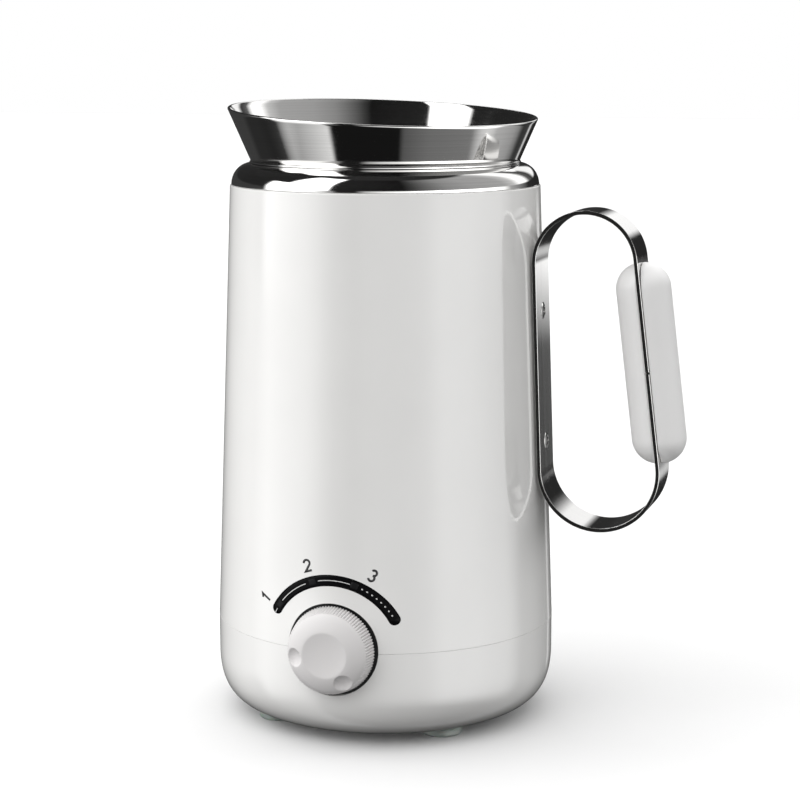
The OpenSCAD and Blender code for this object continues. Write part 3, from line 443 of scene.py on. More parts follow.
def finished(name, tint, vary=None, relief=None, **sockets):
    """A material whose tint, roughness and relief follow noise: count per metre, detail and two values."""
    material = bpy.data.materials.new(name)
    material.use_nodes = True
    tree = material.node_tree
    shader = tree.nodes["Principled BSDF"]
    spot = add_node(tree, "TexCoord", {}).outputs["Object"]
    for socket, value in sockets.items():
        shader.inputs[socket.replace("_", " ")].default_value = value

    def noise(count, detail):
        scale = count if isinstance(count, tuple) else (count,)*3
        way = add_node(tree, "Mapping", {"Vector": spot, "Scale": scale}).outputs["Vector"]
        return add_node(tree, "TexNoise", {"Vector": way, "Scale": 1.0, "Detail": detail}).outputs["Fac"]

    count, detail, *tones = tint
    ramp = add_node(tree, "ValToRGB", {"Fac": noise(count, detail)})
    for stop, position, tone in zip(ramp.color_ramp.elements, TINT_STOPS, tones):
        stop.position = position
        stop.color = (*tone, 1.0)
    tree.links.new(ramp.outputs["Color"], shader.inputs["Base Color"])
    if vary:
        count, detail, low, high = vary
        spread = add_node(tree, "MapRange", {
            "Value": noise(count, detail), "From Min": NOISE_LOW, "From Max": NOISE_HIGH,
            "To Min": low, "To Max": high})
        tree.links.new(spread.outputs["Result"], shader.inputs["Roughness"])
    if relief:
        count, detail, depth, strength = relief
        bump = add_node(tree, "Bump", {
            "Height": noise(count, detail), "Distance": depth, "Strength": strength})
        tree.links.new(bump.outputs["Normal"], shader.inputs["Normal"])
    return material


def shade(base, factor):
    """A colour made darker or lighter."""
    return tuple(c*factor for c in base)


def moulded(name, base, roughness, grain, depth, coat=0.0, ior=1.5, shine=0.5):
    """Moulded plastic with a fine grain and uneven gloss; less shine dulls its highlights."""
    return finished(
        name, (35, 4.0, shade(base, 0.985), shade(base, 1.01)), (140, 3.0, roughness*0.88, roughness*1.15),
        (grain, 2.0, depth, 0.35), IOR=ior, Coat_Weight=coat, Coat_Roughness=0.04, Specular_IOR_Level=shine)


def brushed(name, base, roughness, lines, depth):
    """Polished sheet metal with fine drawn lines, given as counts per metre along each axis."""
    return finished(
        name, (lines, 5.0, shade(base, 0.95), shade(base, 1.03)),
        (shade(lines, 0.45), 4.0, roughness*0.7, roughness*1.4), (lines, 4.0, depth, 0.07), Metallic=1.0)


def plain_metal(name, base, roughness, grain):
    """Cast or turned metal with an even grain."""
    return finished(
        name, (grain, 5.0, shade(base, 0.8), shade(base, 1.1)),
        (grain*0.3, 3.0, roughness*0.7, roughness*1.4), (grain*2, 2.0, 0.02*MM, 0.3), Metallic=1.0)


def silicone(name, base):
    """Pale see-through silicone with a dusty skin."""
    return finished(
        name, (300, 4.0, shade(base, 0.94), shade(base, 1.03)), (900, 3.0, 0.28, 0.45),
        (4000, 2.0, 0.01*MM, 0.3),
        IOR=1.41, Transmission_Weight=0.35, Subsurface_Weight=0.25, Subsurface_Scale=2*MM)


def lamp_glass(name):
    """Amber lamp body with an uneven clear skin."""
    return finished(
        name, (500, 3.0, (0.75, 0.22, 0.03), (0.9, 0.35, 0.06)), (900, 3.0, 0.08, 0.2),
        IOR=1.5, Transmission_Weight=0.6)


def dress(nodes, material, edge=0.0):
    """Gives carried-over CAD nodes a finish and, where asked, broken edges."""
    for name in nodes:
        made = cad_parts[name]
        if not made.material_slots:
            made.data.materials.append(material)
        for slot in made.material_slots:
            slot.material = material
        if edge:
            bevel = made.modifiers.new("broken edges", "BEVEL")
            bevel.width = edge
            bevel.segments = 2
            bevel.limit_method = "ANGLE"
            bevel.angle_limit = math.radians(SMOOTH_DEGREES)
            bevel.harden_normals = False


# Operators, one for each piece or group of like pieces

class KETTLE_OT_body(bpy.types.Operator):
    """Model the outer shell and the base cover"""
    bl_idname = "kettle.body"
    bl_label = "Shell and Base"

    columns = 256
    shell_row, base_row = 7*MM, 5*MM
    corner_steps = 40
    cut_edge = 0.22*MM
    lap_room, lap_gap = 0.2*MM, 0.1*MM
    cone_near, corner_near = 0.02*MM, 0.004
    hole_sides, well_sides = 160, 48
    hole_reach = (-2, -0.75)  # ends of the cutter along Y, as shares of the body's radius
    window_inset = 9*MM
    well_ring, well_radius = 37.8*MM, 3.3*MM
    well_places = (20, 160, 200, 340)

    def execute(self, context):
        body = context.scene.kettle_body
        control = context.scene.kettle_control
        gloss = moulded("white gloss", context.scene.kettle_colours.shell, 0.1, 1400, 0.004*MM, coat=0.3)
        self.shell(body, control, gloss)
        self.base(body, control, gloss)
        return {"FINISHED"}

    def knob_hole(self, body, control):
        """Cutter for the hole round the knob, which the shell and the base share."""
        front, back = ((0, share*body.radius, control.axis) for share in self.hole_reach)
        return tube(control.hole, front, back, self.hole_sides)

    def shell(self, body, control, gloss):
        """Tapered shell with the outer half of the lap at its foot."""
        low, high = body.seam + body.seam_gap/2, SHELL_TOP
        lap_top = body.seam + body.lap + self.lap_room
        lap_radius = body.radius - body.wall/2
        outline = row_fill(soften([
            (shell_radius(body, low), low, body.seam_edge),
            (shell_radius(body, high), high, body.edge),
            (shell_radius(body, high) - body.wall, high, body.edge),
            (shell_radius(body, lap_top) - body.wall, lap_top, 0),
            (lap_radius, lap_top, 0),
            (lap_radius, low, body.seam_edge),
        ]), self.shell_row, True)
        shell = make_object("shell_moulding", spin(outline, self.columns, True))
        carve(shell, [self.knob_hole(body, control)], self.cut_edge)

        def cone_normal(point):
            radius = math.hypot(point.x, point.y)
            if abs(radius - shell_radius(body, point.z)) > self.cone_near:
                return None
            return shell_out(body, point.x/radius, point.y/radius)

        true_normals(shell, cone_normal)
        place(shell, BODY, gloss, ["outer_shell"])

    def base(self, body, control, gloss):
        """Round-cornered base with the inner half of the lap, the inlet's window and the screws' wells."""
        floor = BASE_LOW.z
        seam, lap_top = body.seam - body.seam_gap/2, body.seam + body.lap
        flat = body.radius - body.corner_width
        power = 2/body.corner_power
        inner = body.radius - body.wall
        tongue = body.radius - body.wall/2 - self.lap_gap

        def corner(inset):
            swings = [math.pi/2*i/self.corner_steps for i in range(self.corner_steps + 1)]
            return [
                (flat + (body.corner_width - inset)*math.sin(s)**power,
                 floor + inset + (body.corner_height - inset)*(1 - math.cos(s)**power)) for s in swings
            ]

        rim = soften([
            (body.radius, seam - body.lap, 0), (body.radius, seam, body.seam_edge), (tongue, seam, 0),
            (tongue, lap_top, body.seam_edge), (inner, lap_top, body.seam_edge), (inner, seam - body.lap, 0),
        ])
        outline = [(0, floor)] + corner(0) + rim + corner(body.wall)[::-1] + [(0, floor + body.wall)]
        outline = row_fill(outline, self.base_row, False)
        base = make_object("base_moulding", spin(outline, self.columns, False))
        gap, inset = body.inlet_edge, self.window_inset
        window_low = (INLET_LOW.x + inset - gap, INLET_LOW.y, INLET_LOW.z - gap)
        window_high = (INLET_HIGH.x - inset + gap, 2*body.radius, INLET_HIGH.z + gap)
        cutters = [self.knob_hole(body, control), slab(window_low, window_high)]
        for x, y in [place_round(self.well_ring, degrees) for degrees in self.well_places]:
            low, high = (x, y, -floor), (x, y, floor + 2*body.wall)
            cutters.append(tube(self.well_radius, low, high, self.well_sides))
        carve(base, cutters, self.cut_edge)

        def corner_normal(point):
            radius = max(math.hypot(point.x, point.y), ON_AXIS)
            across = max(0.0, (radius - flat)/body.corner_width)
            down = max(0.0, (floor + body.corner_height - point.z)/body.corner_height)
            if abs(across**body.corner_power + down**body.corner_power - 1) > self.corner_near:
                return None
            side = across**(body.corner_power - 1)/body.corner_width
            drop = down**(body.corner_power - 1)/body.corner_height
            return Vector((point.x/radius*side, point.y/radius*side, -drop)).normalized()

        true_normals(base, corner_normal)
        place(base, BODY, gloss, ["base_cover"])


class KETTLE_OT_steel(bpy.types.Operator):
    """Turn the shoulder ring and the pot with its slanted mouth"""
    bl_idname = "kettle.steel"
    bl_label = "Shoulder and Pot"

    columns = 320
    shoulder_row, pot_row = 3*MM, 12*MM
    dome_steps, rolled_steps = 40, 6
    dome_start, under_start = 2, 4
    bead_gap, bead_edge, bead_steps = 0.05*MM, 0.2*MM, 3
    corner_steps, mouth_rows, lip_step = 12, 14, 30
    pot_smooth = 60

    def execute(self, context):
        steel = context.scene.kettle_steel
        colours = context.scene.kettle_colours
        polish = brushed("polished steel", colours.steel, 0.06, (14, 14, 5200), 0.003*MM)
        self.shoulder(context.scene.kettle_body, steel, polish)
        self.pot(steel, polish)
        return {"FINISHED"}

    def shoulder(self, body, steel, polish):
        """Quarter-round ring with a rolled edge and a lip inside the shell."""
        edge = body.top_radius - steel.shoulder_inset
        width = edge - steel.neck_radius
        thick = steel.shoulder_sheet

        def dome(inset, first):
            swings = [math.pi/2*i/self.dome_steps for i in range(first, self.dome_steps + 1)]
            return [
                (steel.neck_radius + (width - inset)*math.cos(s),
                 SHELL_TOP + (steel.shoulder_height - inset)*math.sin(s)) for s in swings
            ]

        rolled = arc((edge - steel.rolled, SHELL_TOP + steel.rolled), steel.rolled, -90, 0, self.rolled_steps)
        lip = shell_radius(body, SHELL_TOP) - body.wall - steel.lip_gap
        lip_low = SHELL_TOP - steel.lip_depth
        under = [(lip - thick, SHELL_TOP + thick), (lip - thick, lip_low), (lip, lip_low), (lip, SHELL_TOP)]
        outline = rolled + dome(0, self.dome_start) + dome(thick, self.under_start)[::-1] + under
        outline = row_fill(outline, self.shoulder_row, True)
        shoulder = make_object("shoulder_steel", spin(outline, self.columns, True))
        place(shoulder, BODY, polish, ["shoulder_ring"])

    def pot(self, steel, polish):
        """Drawn pot with a bead over the shoulder and a flared mouth that ends on a slant."""
        bead_low = SHELL_TOP + steel.shoulder_height + self.bead_gap
        foot = bead_low + steel.bead_height
        rim = foot + steel.mouth_height
        slope, tilt = math.tan(steel.mouth_lean), math.tan(steel.rim_tilt)
        up = Vector((math.sin(steel.mouth_lean), math.cos(steel.mouth_lean)))
        out = Vector((math.cos(steel.mouth_lean), -math.sin(steel.mouth_lean)))
        reach = steel.neck_radius + steel.bead_out
        bead = soften([
            (steel.pot_radius, bead_low, 0), (reach, bead_low, self.bead_edge),
            (reach, foot, self.bead_edge), (steel.mouth_radius, foot, 0),
        ], self.bead_steps)
        inner = steel.pot_radius - steel.sheet
        centre = (steel.pot_radius - steel.pot_corner, POT_FLOOR + steel.pot_corner)
        round_out = arc(centre, steel.pot_corner, -90, 0, self.corner_steps)
        round_in = arc(centre, steel.pot_corner - steel.sheet, 0, -90, self.corner_steps)
        outside = [(0, POT_FLOOR)] + round_out + [bead[0]]
        inside = [(inner, bead_low)] + round_in + [(0, POT_FLOOR + steel.sheet)]
        outside, inside = (row_fill(side, self.pot_row, False) for side in (outside, inside))
        half = steel.sheet/2
        lip_turns = [math.radians(a) for a in range(0, 181, self.lip_step)]

        def pot_profile(turn):
            lift = tilt*math.cos(turn - steel.rim_way)
            high = (rim + lift*(steel.mouth_radius - foot*slope))/(1 - lift*slope)
            radius = steel.mouth_radius + (high - foot)*slope
            rows = [k/self.mouth_rows for k in range(1, self.mouth_rows)]
            spread = radius - steel.mouth_radius
            flare = [(steel.mouth_radius + spread*k, foot + (high - foot)*k) for k in rows]
            middle = Vector((radius, high)) - out*half - up*half
            lip = [tuple(middle + out*half*math.cos(t) + up*half*math.sin(t)) for t in lip_turns]
            back = [(r - steel.sheet/math.cos(steel.mouth_lean), z) for r, z in flare[::-1]]
            return outside[:-1] + bead + flare + lip + back + inside

        pot = make_object("pot_steel", spin(pot_profile, self.columns, False), self.pot_smooth)
        place(pot, BODY, polish, ["inner_pot"])


class KETTLE_OT_handle(bpy.types.Operator):
    """Bend the band, mould its two grip pads and finish its screws"""
    bl_idname = "kettle.handle"
    bl_label = "Handle"

    bend_steps, band_row = 96, 3*MM
    head_steps, head_columns = 12, 64
    recess_arm, recess_slot, recess_depth = 0.5, 0.13, 0.5
    recess_edge = 0.04*MM
    pad_steps, pad_columns, pad_row = 20, 96, 4*MM
    pad_edge_rows = 5

    def execute(self, context):
        handle = context.scene.kettle_handle
        colours = context.scene.kettle_colours
        to_frame = handle_matrix(context.scene.kettle_body, handle)
        top, bottom, lean, middle = self.outer_leg(handle)
        polish = brushed("band steel", colours.steel, 0.07, (14, 5200, 14), 0.003*MM)
        bm = self.band(handle, top, bottom, lean, middle)
        move(bm, to_frame)
        place(make_object("band_steel", bm), BODY, polish, ["handle_band"])

        satin = moulded("grip satin", colours.grip, 0.4, 3200, 0.01*MM, ior=1.4)
        leg = to_frame @ Matrix.Translation((middle.x, 0, middle.y)) @ Matrix.Rotation(-lean, 4, "Y")
        leg = leg @ Matrix.Translation((0, 0, handle.grip_place))
        for name, side, node in (("grip_pad_outer", 1, "grip_outer"), ("grip_pad_inner", -1, "grip_inner")):
            pad = make_object(name, self.pad(handle, leg @ Matrix.Diagonal((side, 1, 1, 1))))
            place(pad, BODY, satin, [node])
        place(self.screw_heads(handle, to_frame), BODY, polish, ["handle_screws"])
        return {"FINISHED"}

    def outer_leg(self, handle):
        """Middles of the two bends, the outer leg's outward angle and its middle, in the handle's frame."""
        lay = handle.seat + handle.band_sheet/2
        top = Vector((lay + handle.top_bend, handle.leg/2))
        bottom = Vector((lay + handle.bottom_bend, -handle.leg/2))
        run = bottom - top
        lean = math.atan2(run.y, run.x) + math.acos((handle.top_bend - handle.bottom_bend)/run.length)
        out = Vector((math.cos(lean), math.sin(lean)))
        middle = (top + bottom + out*(handle.top_bend + handle.bottom_bend))/2
        return top, bottom, lean, middle

    def band(self, handle, top, bottom, lean, middle):
        """Flat strip bent to a closed loop, from one side of its split round to the other."""
        out = Vector((math.cos(lean), math.sin(lean)))
        along = Vector((-out.y, out.x))
        split = middle + along*(handle.grip_place + handle.split_place)
        turn = math.degrees(lean)
        path = [(split + along*handle.split_gap/2, out)]
        for centre, radius, start, end in (
                (top, handle.top_bend, turn, 180), (bottom, handle.bottom_bend, 180, 360 + turn)):
            for x, y in arc((0, 0), 1, start, end, self.bend_steps):
                path.append((centre + Vector((x, y))*radius, Vector((x, y))))
        path.append((split - along*handle.split_gap/2, out))
        x, y, edge = handle.band_sheet/2, handle.band_width/2, handle.band_edge
        section = soften([(-x, -y, edge), (x, -y, edge), (x, y, edge), (-x, y, edge)])
        section = row_fill(section, self.band_row, True)
        rings = []
        for point, way in path:
            spots = [(point + way*u, v) for u, v in section]
            rings.append([(spot.x, v, spot.y) for spot, v in spots])
        bm = bmesh.new()
        rows = loft(bm, rings, True, False)
        bm.faces.new(rows[0])
        bm.faces.new(rows[-1][::-1])
        outward(bm)
        return bm

    def screw_heads(self, handle, to_frame):
        """Two screws with low domed heads and a cross recess, seated on the inner leg."""
        radius, height = handle.head_radius, handle.head_height
        bow = (radius**2 + height**2)/(2*height)
        reach = math.degrees(math.asin(radius/bow))
        outline = [(0.0, -handle.screw_length), (handle.screw_radius, -handle.screw_length)]
        outline.append((handle.screw_radius, 0.0))
        outline += arc((0, height - bow), bow, 90 - reach, 90, self.head_steps)[:-1] + [(0.0, height)]
        arm, slot, deep = radius*self.recess_arm, radius*self.recess_slot, height*self.recess_depth
        whole = bmesh.new()
        cutters = []
        for level in (handle.screw_top, handle.screw_bottom):
            spot = Matrix.Translation((handle.seat + handle.band_sheet, 0, level))
            seat = to_frame @ spot @ Matrix.Rotation(math.pi/2, 4, "Y")
            turned = spin(outline, self.head_columns, False)
            move(turned, seat)
            mesh = bpy.data.meshes.new("screw")
            turned.to_mesh(mesh)
            turned.free()
            whole.from_mesh(mesh)
            bpy.data.meshes.remove(mesh)
            for x, y in ((arm, slot), (slot, arm)):
                cutters.append(slab((-x, -y, deep), (x, y, 2*height)))
                move(cutters[-1], seat)
        heads = make_object("screw_heads", whole)
        carve(heads, cutters, self.recess_edge)
        return heads

    def pad(self, handle, matrix):
        """Half of a round-ended bar with a soft edge beside the band."""
        half, depth = handle.grip_width/2, handle.grip_depth
        radius = (half**2 + depth**2)/(2*depth)
        face = handle.band_sheet/2 + handle.seat
        reach = handle.grip_length/2 - radius
        outline = arc((0, -reach), radius, -90, 0, self.pad_steps)
        outline += arc((0, reach), radius, 0, 90, self.pad_steps)
        outline = [(r if r > ON_AXIS else 0.0, z) for r, z in row_fill(outline, self.pad_row, False)]
        bm = spin(outline, self.pad_columns, False)
        move(bm, Matrix.Translation((face + depth - radius, 0, 0)))
        everything = bm.verts[:] + bm.edges[:] + bm.faces[:]
        bmesh.ops.bisect_plane(
            bm, geom=everything, plane_co=(face, 0, 0), plane_no=(1, 0, 0), clear_inner=True)
        bmesh.ops.contextual_create(bm, geom=[e for e in bm.edges if e.is_boundary])
        border = [e for e in bm.edges if e.calc_face_angle(0) > SHARP]
        bmesh.ops.bevel(
            bm, geom=border, offset=handle.grip_edge, segments=self.pad_edge_rows, profile=0.5,
            affect="EDGES")
        move(bm, matrix)
        outward(bm)
        return bm


class KETTLE_OT_knob(bpy.types.Operator):
    """Model the ribbed knob with its dish and finger dimples, and finish its seat"""
    bl_idname = "kettle.knob"
    bl_label = "Knob"

    dimples = (189, -56)
    dimple_blend = 0.3*MM
    columns_per_rib, face_rows, flank_rows = 8, 14, 34
    rib_rows = (0.93, 0.66, 0.33, 0.04)
    shoulder_share, shoulder_drop = 0.6, 0.05*MM
    flank_power = 1.5
    skirt_radius, hollow_depth = 11.3*MM, 4.5*MM
    boss_radius, bore_radius, bore_depth = 5.4*MM, 3.1*MM, 6*MM
    knob_smooth, seat_edge = 55, 0.2*MM

    def execute(self, context):
        self.control = control = context.scene.kettle_control
        colours = context.scene.kettle_colours
        self.depth = KNOB_HIGH.y - KNOB_LOW.y
        self.rim = control.band_front - control.rib_depth
        columns = control.ribs*self.columns_per_rib
        bm = bmesh.new()
        loft(bm, [self.column(2*math.pi*i/columns) for i in range(columns)], False)
        outward(bm)
        move(bm, Matrix.Translation((0, KNOB_HIGH.y, control.axis)) @ Matrix.Rotation(math.pi/2, 4, "X"))
        knob = make_object("knob_moulding", bm, self.knob_smooth)
        satin = moulded("knob satin", colours.knob, 0.4, 3200, 0.006*MM, ior=1.35, shine=0.3)
        place(knob, CONTROL, satin, ["control_knob"])
        dress(["knob_bezel"], moulded("seat black", colours.black, 0.4, 2600, 0.01*MM), self.seat_edge)
        return {"FINISHED"}

    def column(self, turn):
        """Points from the middle of the face out over the flank, down the ribs and into the back."""
        control, rim, back = self.control, self.rim, KNOB_HIGH.x
        radii = [control.face*i/self.face_rows for i in range(self.face_rows + 1)]
        rows = range(1, self.flank_rows + 1)
        radii += [control.face + (rim - control.face)*i/self.flank_rows for i in rows]
        points = [(r, self.front(r, turn)) for r in radii]
        groove = control.rib_depth*(1 - abs(math.sin(control.ribs*turn/2)))
        shoulder = control.band_front - control.rib_depth*self.shoulder_share
        points.append((shoulder, control.band_depth - self.shoulder_drop))
        for share in self.rib_rows:
            points.append((back + (control.band_front - back)*share - groove, control.band_depth*share))
        points += [
            (back - control.rib_depth, 0.0), (self.skirt_radius, 0.0), (self.skirt_radius, self.hollow_depth),
            (self.boss_radius, self.hollow_depth), (self.boss_radius, 0.0), (self.bore_radius, 0.0),
            (self.bore_radius, self.bore_depth), (0.0, self.bore_depth),
        ]
        return [(r*math.cos(turn), r*math.sin(turn), z) for r, z in points]

    def front(self, radius, turn):
        """Height of the knob's front: dished face, convex flank and two ball-shaped dimples."""
        control = self.control
        if radius <= control.face:
            bowl = (control.face**2 + control.dish**2)/(2*control.dish)
            height = self.depth - control.dish + bowl - math.sqrt(bowl**2 - radius**2)
        else:
            share = min(1.0, (radius - control.face)/(self.rim - control.face))
            swing = math.acos(share**(1/self.flank_power))
            rise = self.depth - control.band_depth
            height = control.band_depth + rise*math.sin(swing)**self.flank_power
        for degrees in self.dimples:
            x, y = place_round(control.dimple_ring, degrees)
            gap = math.hypot(radius*math.cos(turn) - x, radius*math.sin(turn) - y)
            if gap < control.dimple_ball:
                ball = control.band_depth + control.dimple_rise - math.sqrt(control.dimple_ball**2 - gap**2)
                height = self.soft_least(height, ball)
        return height

    def soft_least(self, a, b):
        """The lesser of two heights, with a round where they cross."""
        share = max(0.0, self.dimple_blend - abs(a - b))/self.dimple_blend
        return min(a, b) - share*share*self.dimple_blend/4


class KETTLE_OT_dial(bpy.types.Operator):
    """Lay the dial band on the shell with its windows, marks and numbers"""
    bl_idname = "kettle.dial"
    bl_label = "Dial"

    # Angles in degrees clockwise from the top; each lay is a lift off the shell and a thickness
    windows, window_half, window_share = (-55.7, -17.4, 19.3), 3.1, 0.55
    lines = ((-64.0, -60.6), (-51.1, -23.8), (-11.6, 15.3))
    dots, dot_half, dot_width = tuple(26.1 + 4.61*i for i in range(8)), 0.2, 0.42*MM
    band_lay, window_lay, mark_lay = (0.03*MM, 0.5*MM), (0.045*MM, 0.03*MM), (0.05*MM, 0.02*MM)
    step_degrees, rows_across, cap_steps = 1.5, 4, 16
    # Strokes in shares of the numbers' height
    numbers = (
        (-59.9, [[(-0.24, 0.26), (0.04, 0.5), (0.04, -0.5)]]),
        (-17.6, [arc((0, 0.21), 0.29, 170, -35, 14) + [(-0.3, -0.5), (0.32, -0.5)]]),
        (28.1, [arc((-0.02, 0.25), 0.25, 155, -90, 14), arc((-0.02, -0.24), 0.27, 75, -155, 14)]),
    )
    stroke_width, stroke_step, longest_mitre = 0.2, 0.12, 0.4
    number_lift, stroke_lift, number_thickness = 0.03*MM, 0.004*MM, 0.02*MM

    def execute(self, context):
        self.body = context.scene.kettle_body
        self.control = control = context.scene.kettle_control
        colours = context.scene.kettle_colours
        start, end = math.degrees(control.dial_start), math.degrees(control.dial_end)
        band = self.patch("dial_gloss", [(start, end, control.dial_width, True)], *self.band_lay)
        gloss = moulded("dial black", colours.black, 0.25, 1800, 0.002*MM, ior=1.3, shine=0.08)
        place(band, BODY, gloss, ["dial_scale"])

        half, width = self.window_half, control.dial_width*self.window_share
        panes = self.patch("dial_windows", [(w - half, w + half, width, False) for w in self.windows],
                           *self.window_lay)
        smoke = moulded("window smoke", colours.smoke, 0.2, 1800, 0.002*MM, ior=1.3, shine=0.12)
        place(panes, BODY, smoke)

        spans = [(a, b, control.mark_width, True) for a, b in self.lines]
        spans += [(d - self.dot_half, d + self.dot_half, self.dot_width, True) for d in self.dots]
        marks = self.patch("dial_marks", spans, *self.mark_lay)
        place(marks, BODY, moulded("print white", colours.print_white, 0.4, 4000, 0.004*MM))
        figures = self.figures()
        place(figures, BODY, moulded("print dark", colours.print_dark, 0.4, 4000, 0.004*MM))
        dress(["indicator_lamp_1", "indicator_lamp_2", "indicator_lamp_3"], lamp_glass("lamp amber"))
        return {"FINISHED"}

    def patch(self, name, spans, lift, thickness):
        """Strips along the dial's circle, laid on the shell; each span is start, end, width, round ends."""
        bm = bmesh.new()
        for start, end, width, rounded in spans:
            steps = max(2, math.ceil((end - start)/self.step_degrees))
            turns = [math.radians(start + (end - start)*i/steps) for i in range(steps + 1)]
            grid = []
            for k in range(self.rows_across + 1):
                radius = self.control.dial_radius + (width/2 - width*k/self.rows_across)
                spots = [on_dial(self.control, turn, radius) for turn in turns]
                grid.append([bm.verts.new(on_front(self.body, x, z, lift)) for x, z in spots])
            for upper, lower in zip(grid, grid[1:]):
                for i in range(steps):
                    bm.faces.new((upper[i], lower[i], lower[i + 1], upper[i + 1]))
            if rounded:
                self.cap(bm, [row[0] for row in grid], math.radians(start), width, -1, lift)
                self.cap(bm, [row[-1] for row in grid], math.radians(end), width, 1, lift)
        outward(bm)
        if bm.faces[:][0].normal.y > 0:
            bmesh.ops.reverse_faces(bm, faces=bm.faces)
        return thicken(make_object(name, bm), thickness)

    def cap(self, bm, side, turn, width, way, lift):
        """Round end of a strip, as a fan about the middle of its end row."""
        across = Vector((math.sin(turn), math.cos(turn)))
        along = Vector((math.cos(turn), -math.sin(turn)))*way
        x, z = on_dial(self.control, turn, self.control.dial_radius)
        ring = [side[0]]
        for swing in [math.pi*i/self.cap_steps for i in range(1, self.cap_steps)]:
            off = across*(width/2*math.cos(swing)) + along*(width/2*math.sin(swing))
            ring.append(bm.verts.new(on_front(self.body, x + off.x, z + off.y, lift)))
        middle = side[len(side)//2]
        bm.faces.new((middle, side[1], side[0], ring[1]) if way > 0 else (middle, ring[1], side[0], side[1]))
        for first, second in zip(ring[1:-1], ring[2:]):
            bm.faces.new((middle, first, second) if way > 0 else (middle, second, first))
        last = (middle, ring[-1], side[-1], side[-2])
        bm.faces.new(last if way > 0 else last[::-1])

    def figures(self):
        """Plain numbers beside the three settings, drawn as strokes on the shell along the dial's circle."""
        bm = bmesh.new()
        for degrees, strokes in self.numbers:
            for k, stroke in enumerate(strokes):
                points = row_fill(stroke, self.stroke_step, False)
                self.ribbon(bm, points, math.radians(degrees), self.number_lift + self.stroke_lift*k)
        bmesh.ops.reverse_faces(bm, faces=[f for f in bm.faces if f.normal.y > 0])
        return thicken(make_object("dial_numbers", bm), self.number_thickness)

    def ribbon(self, bm, points, turn, lift):
        """A stroke of even width through points in shares of the numbers' height."""
        control = self.control
        x, z = on_dial(control, turn, control.number_radius)
        pairs = []
        for i, point in enumerate(points):
            near = points[max(0, i - 1):i + 2]
            ways = [Vector(b) - Vector(a) for a, b in zip(near, near[1:])]
            sides = [Vector((-way.y, way.x)).normalized() for way in ways]
            mitre = sum(sides, Vector((0, 0))).normalized()
            mitre = mitre*(self.stroke_width/2/max(self.longest_mitre, mitre.dot(sides[0])))
            pair = []
            for spot in (Vector(point) + mitre, Vector(point) - mitre):
                spot = spot*control.number_height
                across = spot.x*math.cos(turn) + spot.y*math.sin(turn)
                above = -spot.x*math.sin(turn) + spot.y*math.cos(turn)
                pair.append(bm.verts.new(on_front(self.body, x + across, z + above, lift)))
            pairs.append(pair)
        for (a, b), (c, d) in zip(pairs, pairs[1:]):
            bm.faces.new((a, b, d, c)).normal_update()


class KETTLE_OT_feet(bpy.types.Operator):
    """Mould the four silicone feet"""
    bl_idname = "kettle.feet"
    bl_label = "Feet"

    cup_depth, cup_share, land_share = 0.3*MM, 0.55, 0.62
    foot_edge, edge_steps = 0.7*MM, 6
    top_drop, top_inset = 0.3*MM, 0.2*MM
    stem_radius, stem_tip, columns = 2.4*MM, 1*MM, 64

    def execute(self, context):
        pale = silicone("foot silicone", context.scene.kettle_colours.silicone)
        height, edge, stem = BASE_LOW.z, self.foot_edge, self.stem_radius
        for node in FEET:
            low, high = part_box(node)
            radius = (high.x - low.x)/2
            outline = [
                (0, self.cup_depth), (radius*self.cup_share, self.cup_depth), (radius*self.land_share, 0.0),
                *arc((radius - edge, edge), edge, -90, 0, self.edge_steps),
                (radius, height - self.top_drop), (radius - self.top_inset, height), (stem, height),
                (stem, high.z - self.stem_tip), (0, high.z),
            ]
            bm = spin(outline, self.columns, False)
            move(bm, Matrix.Translation(((low.x + high.x)/2, (low.y + high.y)/2, 0)))
            foot = make_object(node.replace("foot", "foot_pad"), bm)
            place(foot, BODY, pale, [node])
        return {"FINISHED"}


class KETTLE_OT_inlet(bpy.types.Operator):
    """Finish the power inlet at the back"""
    bl_idname = "kettle.inlet"
    bl_label = "Power Inlet"

    broken_edge = 0.3*MM

    def execute(self, context):
        black = moulded("inlet black", (0.012, 0.012, 0.013), 0.42, 2200, 0.02*MM)
        dress(["power_inlet"], black, self.broken_edge)
        pins = plain_metal("pin plating", (0.60, 0.59, 0.55), 0.22, 1100)
        dress(["inlet_pin_live", "inlet_pin_neutral", "inlet_pin_earth"], pins, self.broken_edge)
        return {"FINISHED"}


